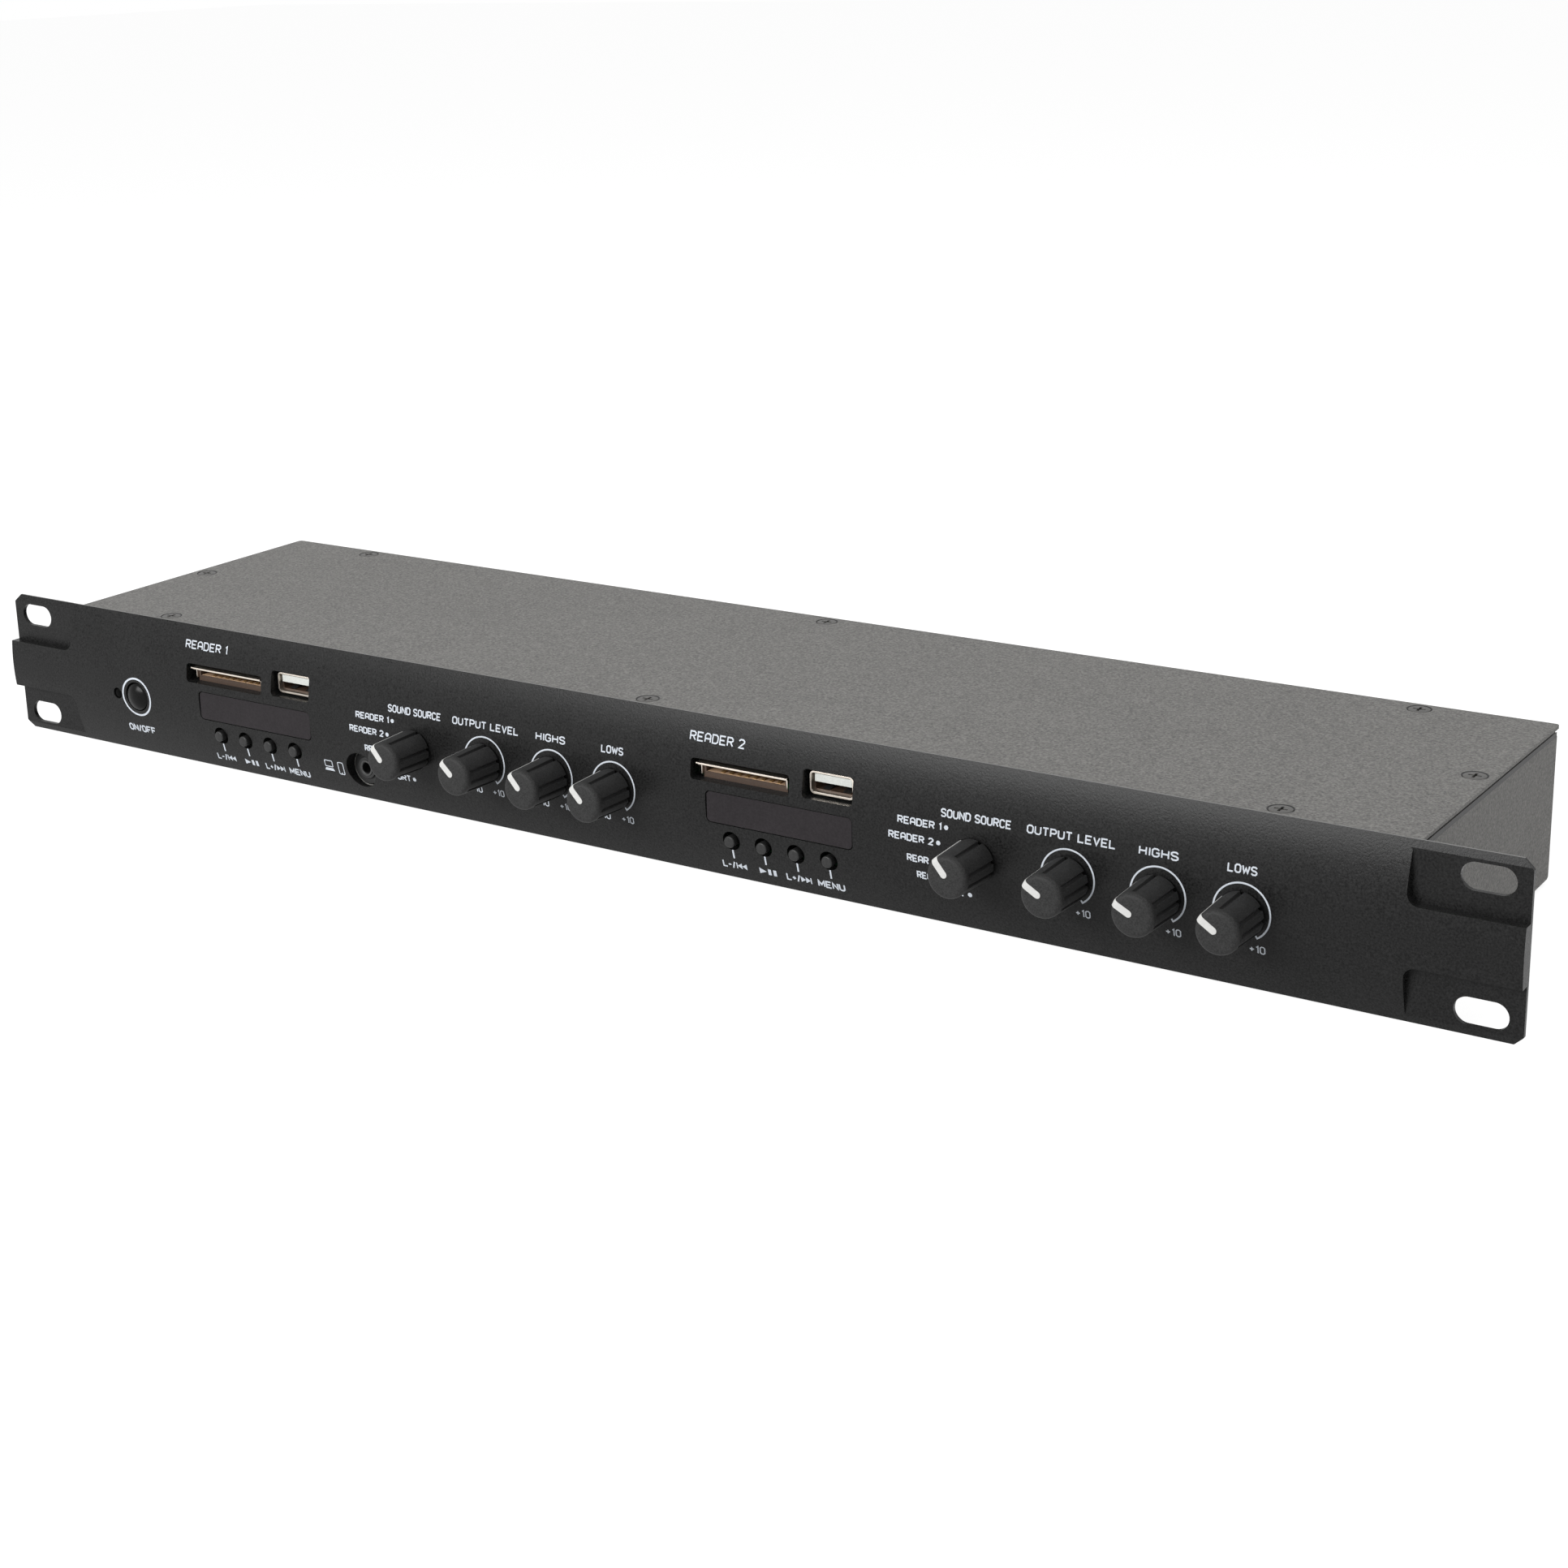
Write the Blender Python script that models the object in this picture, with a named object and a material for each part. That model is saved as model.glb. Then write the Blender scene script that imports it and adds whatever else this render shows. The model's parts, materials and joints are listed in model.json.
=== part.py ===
"""A rack player with two decks that play memory cards and USB sticks.

A folded steel tray carries the boards, the pots and the rear sockets. A crowned
aluminium panel closes its front, and a flat cover with eight countersunk screws
closes its top. Lengths are in metres. X runs to the right of someone who faces
the panel, Y runs to the back and Z up. Heights start at the panel's lower edge
and depths at the front face of its rack ears.
"""
from math import cos, pi, radians, sin, sqrt

import bmesh
import bpy

# Fits that all pieces share
SEAT_GAP = 0.0003
RUN_GAP = 0.00035
SHEET = 0.0010
OVERRUN = 0.006
BOARD = 0.0016

# Front panel
PANEL_WIDTH = 0.4826
PANEL_HEIGHT = 0.0436
PANEL_CROWN = 0.0030
CROWN_EDGE_SETBACK = 0.0011
EAR_THICKNESS = 0.0016
CORNER_CHAMFER = 0.0023
EAR_LENGTH = 0.0269
EAR_RIB_HEIGHT = 0.0146
EAR_RECESS_RADIUS = 0.0030
RACK_SLOT_INSET_X = 0.0097
RACK_SLOT_INSET_Z = 0.00595
RACK_SLOT_LENGTH = 0.0126
RACK_SLOT_HEIGHT = 0.0067
SEAT_RELIEF = 0.0001

# Tray and cover
TRAY_DEPTH = 0.1000
TRAY_DROP = 0.0028
TRAY_BEND = 0.0017
FLANGE = 0.0100
RELIEF_SETBACK = 0.0113
RELIEF_WIDTH = 0.0004
RELIEF_DEPTH = 0.0024
SHOULDER_DROP = 0.0005
COVER_LIP = 0.0005
COVER_SHEET = 0.0012
COVER_OVERHANG = 0.0004
COVER_CORNER = 0.0012
COVER_SCREW_INSET_X = 0.0344
COVER_SCREW_SIDE_INSET = 0.0044
COVER_SCREW_FRONT_Y = 0.0086
COVER_SCREW_REAR_INSET = 0.0043
SCREW_HEAD_RADIUS = 0.0029
SCREW_SINK_GAP = 0.00045
SCREW_SHANK_RADIUS = 0.0014
SCREW_LENGTH = 0.0062
SCREW_CROSS_LENGTH = 0.0032
SCREW_CROSS_WIDTH = 0.0008
SCREW_CROSS_DEPTH = 0.0006

# Card and USB sockets, and the holes that show them
SOCKET_SETBACK = 0.0033
SOCKET_HOLE_CORNER = 0.0011
CARD_LID_WIDTH = 0.0284
CARD_LID = 0.0007
CARD_LID_LAP = 0.0011
CARD_DEPTH = 0.0280
CARD_HEIGHT = 0.0031
CARD_SIDE = 0.0008
CARD_SLOT_DEPTH = 0.0240
CARD_FLOOR = 0.0004
CARD_HOLE_MARGIN_X = 0.00115
CARD_HOLE_MARGIN_Z = 0.0013
USB_WIDTH = 0.0132
USB_HEIGHT = 0.0061
USB_DEPTH = 0.0190
USB_SHELL = 0.0004
USB_CORNER = 0.0013
USB_HOLE_MARGIN_X = 0.0009
USB_HOLE_MARGIN_Z = 0.0007
USB_TONGUE_WIDTH = 0.0111
USB_TONGUE_THICKNESS = 0.0020
USB_TONGUE_DROP = 0.0005
USB_TONGUE_SETBACK = 0.0010
USB_BLOCK_DEPTH = 0.0070

# Decks: places across from the middle of each deck's display
CARD_X = -0.0119
USB_X = 0.0149
DISPLAY_WIDTH = 0.0450
DISPLAY_HEIGHT = 0.0088
DISPLAY_CORNER = 0.0014
DISPLAY_INSET = 0.00025
WINDOW_LEDGE = 0.0018
KEY_PITCH = 0.0100
KEY_ROW_X = -0.0002
KEY_HOLE_RADIUS = 0.00265
KEY_RADIUS = 0.0016
KEY_PROUD = 0.0013
KEY_TRAVEL = 0.0004
KEY_EDGE = 0.0003

# Deck board: a level board for the sockets and an upright one for display and keys
DECK_BOARD_WIDTH = 0.0550
KEY_BOARD_MARGIN = 0.0025
KEY_BOARD_FOOT_Z = 0.0055
KEY_BOARD_Y = 0.0090
DISPLAY_MODULE_WIDTH = 0.0420
DISPLAY_MODULE_HEIGHT = 0.0082
TACT_SIZE = 0.0060
TACT_DEPTH = 0.0036
TACT_BORE_DEPTH = 0.0015
POST_RADIUS = 0.0024
DECK_PILLAR_X = 0.0200
FUSE_DEPTH = 0.0002

# Knobs, with the pots and rotary switches behind them
KNOB_RADIUS = 0.0059
KNOB_TAPER = 0.0004
KNOB_RIM = 0.0012
KNOB_LENGTH = 0.0134
KNOB_LIFT = 0.0006
KNOB_RECESS_GAP = 0.0010
KNOB_RECESS_DEPTH = 0.0015
FLUTE_WIDTH = 0.0010
FLUTE_DEPTH = 0.00055
FLUTE_STOP = 0.0018
SHAFT_RADIUS = 0.0020
SHAFT_END_GAP = 0.0006
BUSHING_RADIUS = 0.0035
BUSHING_STICKOUT = 0.0018
POT_WIDTH = 0.0096
POT_HEIGHT = 0.0112
POT_DEPTH = 0.0068
SELECTOR_SIZE = 0.0160
POT_FLOOR = 0.0010
CONTROL_MARGIN = 0.0110
CONTROL_FAR_MARGIN = 0.0090
CONTROL_BOARD_INSET = 0.0054

# Auxiliary jack
AUX_HOLE_RADIUS = 0.0054
AUX_BARREL_RADIUS = 0.0050
AUX_NOSE_RADIUS = 0.0033
AUX_NOSE = 0.0007
AUX_SETBACK = 0.0008
AUX_BORE_RADIUS = 0.0018
AUX_BODY_WIDTH = 0.0110
AUX_BODY_HEIGHT = 0.0112

# Power button, its switch and the pilot light
POWER_HOLE_RADIUS = 0.0046
POWER_CAP_RADIUS = 0.00425
POWER_CAP_LENGTH = 0.0036
POWER_DOME = 0.0009
POWER_PROUD = 0.0003
POWER_TRAVEL = 0.0026
POWER_STEM_RADIUS = 0.0020
POWER_STEM_LENGTH = 0.0125
POWER_SWITCH_WIDTH = 0.0160
POWER_SWITCH_HEIGHT = 0.0140
POWER_SWITCH_DEPTH = 0.0270
PILOT_OFFSET = 0.0083
PILOT_RADIUS = 0.00150
PILOT_INSET = 0.0003
PILOT_DOME = 0.0002
PILOT_COLLAR = 0.0020

# Boards on the tray's floor
BOARD_STANDOFF = 0.0060
STANDOFF_INSET = 0.0060
MAIN_INSET_X = 0.0144
MAIN_REAR_GAP = 0.0045
BOARD_GAP = 0.0035
SUPPLY_INSET_X = 0.0094
SUPPLY_REAR_GAP = 0.0066
TRANSFORMER_WIDTH = 0.0420
TRANSFORMER_INSET = 0.0120
CAPACITOR_RADIUS = 0.0050
CAPACITOR_HEIGHT = 0.0160
HEADER_WIDTH = 0.0120
HEADER_DEPTH = 0.0050
HEADER_HEIGHT = 0.0045
HEADER_X = 0.0205
HEADER_MARGIN = 0.0015
HEADER_SETBACK = 0.0060
RIBBON_WIDTH = 0.0100
RIBBON_THICKNESS = 0.0008
RIBBON_RISE = 0.0060

# Rear sockets
JACK_BODY_WIDTH = 0.0102
JACK_BODY_DEPTH = 0.0104
JACK_BARREL_RADIUS = 0.00415
JACK_BARREL_LENGTH = 0.0085
JACK_CENTRE_RADIUS = 0.0016
JACK_RIM = 0.0008
JACK_RIM_DEPTH = 0.0006
INLET_INSET_X = 0.0449
INLET_WIDTH = 0.0270
INLET_HEIGHT = 0.0196
INLET_CORNER = 0.0040
INLET_DEPTH = 0.0180
INLET_LIP = 0.0020
INLET_LIP_THICKNESS = 0.0024
INLET_WALL = 0.0016
INLET_FLOOR = 0.0030
INLET_PIN_WIDTH = 0.0020
INLET_PIN_HEIGHT = 0.0050
INLET_PIN_LENGTH = 0.0100
INLET_PIN_PITCH = 0.0070
INLET_PIN_RISE = 0.0025

# Places as shares of the tray's width, from the middle
DECK_SHARES = (-0.3183, 0.1131)
GROUP_SHARES = (-0.1726, 0.2472)
CONTROL_SHARES = {"source": 0.0, "volume": 0.0594, "treble": 0.1143, "bass": 0.1633}
POWER_X_SHARE = -0.4338
AUX_X_SHARE = -0.2248
JACK_SHARES = {"line_jacks_1": -0.0932, "line_jacks_2": 0.0233, "output_jacks_1": 0.2331, "output_jacks_2": 0.3497}

# Heights as shares of the panel's height, from its middle
KNOB_Z_SHARE = -0.0516
KEY_Z_SHARE = -0.2420
DISPLAY_Z_SHARE = -0.0413
CARD_Z_SHARE = 0.1766
USB_Z_SHARE = 0.2087
POWER_Z_SHARE = -0.0734
AUX_Z_SHARE = -0.2870

# Sizes as shares of the tray's depth or height
DECK_DEPTH_SHARE = 0.39
MAIN_DEPTH_SHARE = 0.44
SUPPLY_DEPTH_SHARE = 0.34
TRANSFORMER_DEPTH_SHARE = 0.28
PILLAR_DEPTH_SHARES = (0.30, 0.87)
TRANSFORMER_HEIGHT_SHARE = 0.637
JACK_HEIGHT_SHARE = 0.6225
JACK_PITCH_SHARE = 0.3284
INLET_HEIGHT_SHARE = 0.515
DECK_CUTOUT_SHARE = 0.757

# Counts, angles and shapes
CROWN_STEPS = 14
ROUND = 24
SMALL_ROUND = 16
PLAIN_ROUND = 12
POST_ROUND = 8
ARC_STEPS = 3
SLOT_STEPS = 5
RIBBON_STEPS = 12
FLUTE_ANGLES = (60, 120, 150, 180, 210, 240, 300)
POINTER_ANGLES = ((130, 135, 132, 135), (134, 150, 153, 150))
KNOB_RIM_SHARES = ((0.0, 1.0), (0.62, 0.72), (1.0, 0.0))
PIN_PLACE_SHARES = ((-1, -1), (0, 1), (1, -1))
CAPACITOR_SHARES = ((0.22, 0.30), (0.22, 0.62), (0.36, 0.30))

# Places and sizes that follow from those above
PANEL_MIDDLE = PANEL_HEIGHT / 2
CROWN_RISE = PANEL_CROWN + CROWN_EDGE_SETBACK
CROWN_RADIUS = (PANEL_MIDDLE ** 2 + CROWN_RISE ** 2) / (2 * CROWN_RISE)
RACK_SLOT_X = PANEL_WIDTH / 2 - RACK_SLOT_INSET_X
RACK_SLOT_Z = PANEL_MIDDLE - RACK_SLOT_INSET_Z
TRAY_WIDTH = PANEL_WIDTH - EAR_LENGTH * 2
TRAY_HEIGHT = PANEL_HEIGHT - TRAY_DROP
WALL_FRONT_Y = EAR_THICKNESS + SEAT_GAP
WALL_BACK_Y = WALL_FRONT_Y + SHEET
INSIDE_Y = WALL_BACK_Y + SEAT_GAP
TRAY_REAR_Y = WALL_FRONT_Y + TRAY_DEPTH
REAR_WALL_Y = TRAY_REAR_Y - SHEET
COVER_FLOOR_Z = TRAY_HEIGHT + SEAT_GAP
COVER_TOP_Z = COVER_FLOOR_Z + COVER_SHEET
COVER_REAR_Y = TRAY_REAR_Y + COVER_OVERHANG
KNOB_ROW_Z = PANEL_MIDDLE + PANEL_HEIGHT * KNOB_Z_SHARE
KEY_ROW_Z = PANEL_MIDDLE + PANEL_HEIGHT * KEY_Z_SHARE
DISPLAY_ROW_Z = PANEL_MIDDLE + PANEL_HEIGHT * DISPLAY_Z_SHARE
CARD_ROW_Z = PANEL_MIDDLE + PANEL_HEIGHT * CARD_Z_SHARE
USB_ROW_Z = PANEL_MIDDLE + PANEL_HEIGHT * USB_Z_SHARE
POWER_ROW_Z = PANEL_MIDDLE + PANEL_HEIGHT * POWER_Z_SHARE
AUX_ROW_Z = PANEL_MIDDLE + PANEL_HEIGHT * AUX_Z_SHARE
POWER_X = TRAY_WIDTH * POWER_X_SHARE
PILOT_X = POWER_X - PILOT_OFFSET
AUX_X = TRAY_WIDTH * AUX_X_SHARE
DECK_PLACES = [TRAY_WIDTH * share for share in DECK_SHARES]
GROUP_PLACES = [TRAY_WIDTH * share for share in GROUP_SHARES]
CONTROLS = {name: TRAY_WIDTH * share for name, share in CONTROL_SHARES.items()}
JACK_PLACES = {name: TRAY_WIDTH * share for name, share in JACK_SHARES.items()}
KEYS = ("previous_button", "play_button", "next_button", "mode_button")
KEY_OFFSETS = [KEY_ROW_X + KEY_PITCH * (i - (len(KEYS) - 1) / 2) for i in range(len(KEYS))]
SOCKET_FRONT_Y = SOCKET_SETBACK - PANEL_CROWN
DECK_SOCKET_FLOOR_Z = CARD_ROW_Z - CARD_HEIGHT / 2
DECK_BOARD_TOP_Z = DECK_SOCKET_FLOOR_Z - SEAT_GAP
DECK_BOARD_DEPTH = TRAY_DEPTH * DECK_DEPTH_SHARE
KNOB_BACK_Y = -PANEL_CROWN - KNOB_LIFT
KNOB_FACE_Y = KNOB_BACK_Y - KNOB_LENGTH
KNOB_FACE_RADIUS = KNOB_RADIUS - KNOB_TAPER
POT_BACK_Y = INSIDE_Y + POT_DEPTH
CONTROL_BOARD_Y = POT_BACK_Y + SEAT_GAP
CONTROL_BOARD_HEIGHT = TRAY_HEIGHT - CONTROL_BOARD_INSET * 2
BUSHING_FRONT_Y = -PANEL_CROWN - BUSHING_STICKOUT
POWER_FACE_Y = -PANEL_CROWN - POWER_DOME - POWER_PROUD
POWER_STEM_END_Y = POWER_FACE_Y + POWER_STEM_LENGTH + POWER_CAP_LENGTH
BOARD_UNDERSIDE_Z = SHEET + SEAT_GAP + BOARD_STANDOFF
BOARD_TOP_Z = BOARD_UNDERSIDE_Z + BOARD
MAIN_LEFT_X = DECK_PLACES[0] + HEADER_X - HEADER_WIDTH / 2 - HEADER_MARGIN
MAIN_RIGHT_X = TRAY_WIDTH / 2 - MAIN_INSET_X
MAIN_BACK_Y = REAR_WALL_Y - MAIN_REAR_GAP
MAIN_FRONT_Y = MAIN_BACK_Y - TRAY_DEPTH * MAIN_DEPTH_SHARE
MAIN_HEADER_Y = MAIN_FRONT_Y + HEADER_SETBACK
INLET_X = INLET_INSET_X - TRAY_WIDTH / 2
INLET_ROW_Z = TRAY_HEIGHT * INLET_HEIGHT_SHARE
INLET_MOUTH_Y = TRAY_REAR_Y + SEAT_GAP + INLET_LIP_THICKNESS
INLET_START_Y = INLET_MOUTH_Y - INLET_DEPTH
SUPPLY_LEFT_X = SUPPLY_INSET_X - TRAY_WIDTH / 2
SUPPLY_RIGHT_X = MAIN_LEFT_X - BOARD_GAP
SUPPLY_BACK_Y = INLET_START_Y - SUPPLY_REAR_GAP
SUPPLY_FRONT_Y = SUPPLY_BACK_Y - TRAY_DEPTH * SUPPLY_DEPTH_SHARE
JACK_REACH_Y = TRAY_REAR_Y + JACK_BARREL_LENGTH
JACK_BODY_HEIGHT = TRAY_HEIGHT * JACK_HEIGHT_SHARE


def material(name, colour, roughness, metallic=0.0):
    """A plain Principled material in linear colour."""
    made = bpy.data.materials.new(name)
    made.use_nodes = True
    shader = made.node_tree.nodes["Principled BSDF"]
    shader.inputs["Base Color"].default_value = (*colour, 1.0)
    shader.inputs["Roughness"].default_value = roughness
    shader.inputs["Metallic"].default_value = metallic
    made.diffuse_color = (*colour, 1.0)
    return made


def finished(bm):
    """The mesh of a bmesh whose faces all point out."""
    bmesh.ops.recalc_face_normals(bm, faces=bm.faces)
    mesh = bpy.data.meshes.new("shape")
    bm.to_mesh(mesh)
    bm.free()
    return mesh


def prism(outline, start, end, axis="Y"):
    """A closed solid with one outline all along an axis."""
    def place(point, along):
        across, up = point
        return {"X": (along, across, up), "Y": (across, along, up), "Z": (across, up, along)}[axis]

    bm = bmesh.new()
    near = [bm.verts.new(place(point, start)) for point in outline]
    far = [bm.verts.new(place(point, end)) for point in outline]
    bm.faces.new(near)
    bm.faces.new(far[::-1])
    for i in range(len(outline)):
        j = (i + 1) % len(outline)
        bm.faces.new((near[i], far[i], far[j], near[j]))
    return finished(bm)


def block(low, high):
    """A box between two corners."""
    outline = [(low[0], low[2]), (high[0], low[2]), (high[0], high[2]), (low[0], high[2])]
    return prism(outline, low[1], high[1])


def rounded(middle, size, radius, steps=ARC_STEPS):
    """A rectangle's outline with round corners."""
    points = []
    for quarter, (right, up) in enumerate(((1, 1), (-1, 1), (-1, -1), (1, -1))):
        x = middle[0] + right * (size[0] / 2 - radius)
        z = middle[1] + up * (size[1] / 2 - radius)
        for step in range(steps + 1):
            angle = (quarter + step / steps) * pi / 2
            points.append((x + radius * cos(angle), z + radius * sin(angle)))
    return points


def ring(middle, radius, count=ROUND):
    """A circle's outline."""
    turn = 2 * pi / count
    return [(middle[0] + radius * cos(i * turn), middle[1] + radius * sin(i * turn)) for i in range(count)]


def lathe(profile, count=ROUND, axis="Y"):
    """A solid turned round an axis from (radius, place) pairs that start and end on it."""
    def place(radius, along, angle):
        across, up = radius * cos(angle), radius * sin(angle)
        return (across, along, up) if axis == "Y" else (across, up, along)

    bm = bmesh.new()
    rings = []
    for radius, along in profile:
        if radius == 0:
            rings.append([bm.verts.new(place(0, along, 0))] * count)
        else:
            rings.append([bm.verts.new(place(radius, along, i * 2 * pi / count)) for i in range(count)])
    for lower, upper in zip(rings, rings[1:]):
        for i in range(count):
            j = (i + 1) % count
            corners = list(dict.fromkeys((lower[i], lower[j], upper[j], upper[i])))
            bm.faces.new(corners)
    return finished(bm)


def moved(mesh, x=0.0, y=0.0, z=0.0):
    """The same mesh in another place."""
    for vertex in mesh.vertices:
        vertex.co.x += x
        vertex.co.y += y
        vertex.co.z += z
    return mesh


def boolean(mesh, tools, operation):
    """The mesh after every tool is cut from it or joined to it."""
    collection = bpy.context.scene.collection
    body = bpy.data.objects.new("body", mesh)
    collection.objects.link(body)
    helpers = [body]
    for tool in tools:
        helper = bpy.data.objects.new("tool", tool)
        collection.objects.link(helper)
        helpers.append(helper)
        modifier = body.modifiers.new("shape", "BOOLEAN")
        modifier.object = helper
        modifier.operation = operation
        modifier.solver = "EXACT"
    graph = bpy.context.evaluated_depsgraph_get()
    result = bpy.data.meshes.new_from_object(body.evaluated_get(graph))
    for helper in helpers:
        bpy.data.objects.remove(helper)
    return result


def cut(mesh, tools):
    """The mesh without the tools' space."""
    return boolean(mesh, tools, "DIFFERENCE")


def join(mesh, tools):
    """The mesh and the tools as one body."""
    return boolean(mesh, tools, "UNION")


def add(name, mesh, finish, parent, place=(0, 0, 0), turn=0.0):
    """A named sub-part, smooth over its rounds, turned about the Y axis at its place."""
    mesh.materials.clear()
    mesh.materials.append(finish)
    mesh.shade_smooth()
    mesh.set_sharp_from_angle(angle=radians(30))
    thing = bpy.data.objects.new(name, mesh)
    bpy.context.scene.collection.objects.link(thing)
    thing.parent = parent
    thing.location = place
    thing.rotation_euler = (0, turn, 0)
    return thing


def crown_y(z):
    """Where the panel's crowned face lies at a height."""
    rise = z - PANEL_MIDDLE
    return CROWN_RADIUS - PANEL_CROWN - sqrt(CROWN_RADIUS ** 2 - rise ** 2)


def card_hole_size():
    """The width and height of the panel's hole for a memory card."""
    return (CARD_LID_WIDTH + CARD_HOLE_MARGIN_X * 2, CARD_HEIGHT + CARD_HOLE_MARGIN_Z * 2)


def panel_shape():
    """The crowned extrusion, its flat rack ears and every hole in it."""
    heights = [PANEL_HEIGHT * i / CROWN_STEPS for i in range(CROWN_STEPS + 1)]
    section = [(crown_y(z), z) for z in heights] + [(EAR_THICKNESS, PANEL_HEIGHT), (EAR_THICKNESS, 0)]
    bar = prism(section, -PANEL_WIDTH / 2, PANEL_WIDTH / 2, "X")
    blank = rounded((0, PANEL_MIDDLE), (PANEL_WIDTH, PANEL_HEIGHT), CORNER_CHAMFER, 1)
    blank = prism(blank, -PANEL_CROWN - OVERRUN, EAR_THICKNESS + OVERRUN)
    panel = boolean(bar, [blank], "INTERSECT")

    recess = (PANEL_HEIGHT - EAR_RIB_HEIGHT) / 2 + OVERRUN
    recess_z = (PANEL_HEIGHT + OVERRUN * 2 - recess) / 2
    tools = []
    for side in (-1, 1):
        for up in (-1, 1):
            middle = (side * (PANEL_WIDTH / 2 + (OVERRUN - EAR_LENGTH) / 2), PANEL_MIDDLE + up * recess_z)
            outline = rounded(middle, (EAR_LENGTH + OVERRUN, recess), EAR_RECESS_RADIUS)
            tools.append(prism(outline, -PANEL_CROWN - OVERRUN, 0))
            middle = (side * RACK_SLOT_X, PANEL_MIDDLE + up * RACK_SLOT_Z)
            slot = rounded(middle, (RACK_SLOT_LENGTH, RACK_SLOT_HEIGHT), RACK_SLOT_HEIGHT / 2, SLOT_STEPS)
            tools.append(prism(slot, -OVERRUN, EAR_THICKNESS + OVERRUN))
    reach = TRAY_WIDTH / 2 + COVER_LIP + SEAT_GAP
    low, high = (-reach, EAR_THICKNESS - SEAT_RELIEF, -OVERRUN), (reach, EAR_THICKNESS + OVERRUN, PANEL_HEIGHT + OVERRUN)
    tools.append(block(low, high))
    panel = cut(panel, tools)

    holes = []
    for x in DECK_PLACES:
        holes.append(rounded((x, DISPLAY_ROW_Z), (DISPLAY_WIDTH, DISPLAY_HEIGHT), DISPLAY_CORNER))
        holes.append(rounded((x + CARD_X, CARD_ROW_Z), card_hole_size(), SOCKET_HOLE_CORNER))
        usb_size = (USB_WIDTH + USB_HOLE_MARGIN_X * 2, USB_HEIGHT + USB_HOLE_MARGIN_Z * 2)
        holes.append(rounded((x + USB_X, USB_ROW_Z), usb_size, SOCKET_HOLE_CORNER))
        for offset in KEY_OFFSETS:
            holes.append(ring((x + offset, KEY_ROW_Z), KEY_HOLE_RADIUS, SMALL_ROUND))
    for x in GROUP_PLACES:
        for offset in CONTROLS.values():
            holes.append(ring((x + offset, KNOB_ROW_Z), BUSHING_RADIUS + RUN_GAP, PLAIN_ROUND))
    holes.append(ring((POWER_X, POWER_ROW_Z), POWER_HOLE_RADIUS))
    holes.append(ring((PILOT_X, POWER_ROW_Z), PILOT_RADIUS + RUN_GAP, SMALL_ROUND))
    holes.append(ring((AUX_X, AUX_ROW_Z), AUX_HOLE_RADIUS))
    front, back = -PANEL_CROWN - OVERRUN, EAR_THICKNESS + OVERRUN
    return cut(panel, [prism(hole, front, back) for hole in holes])


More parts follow.
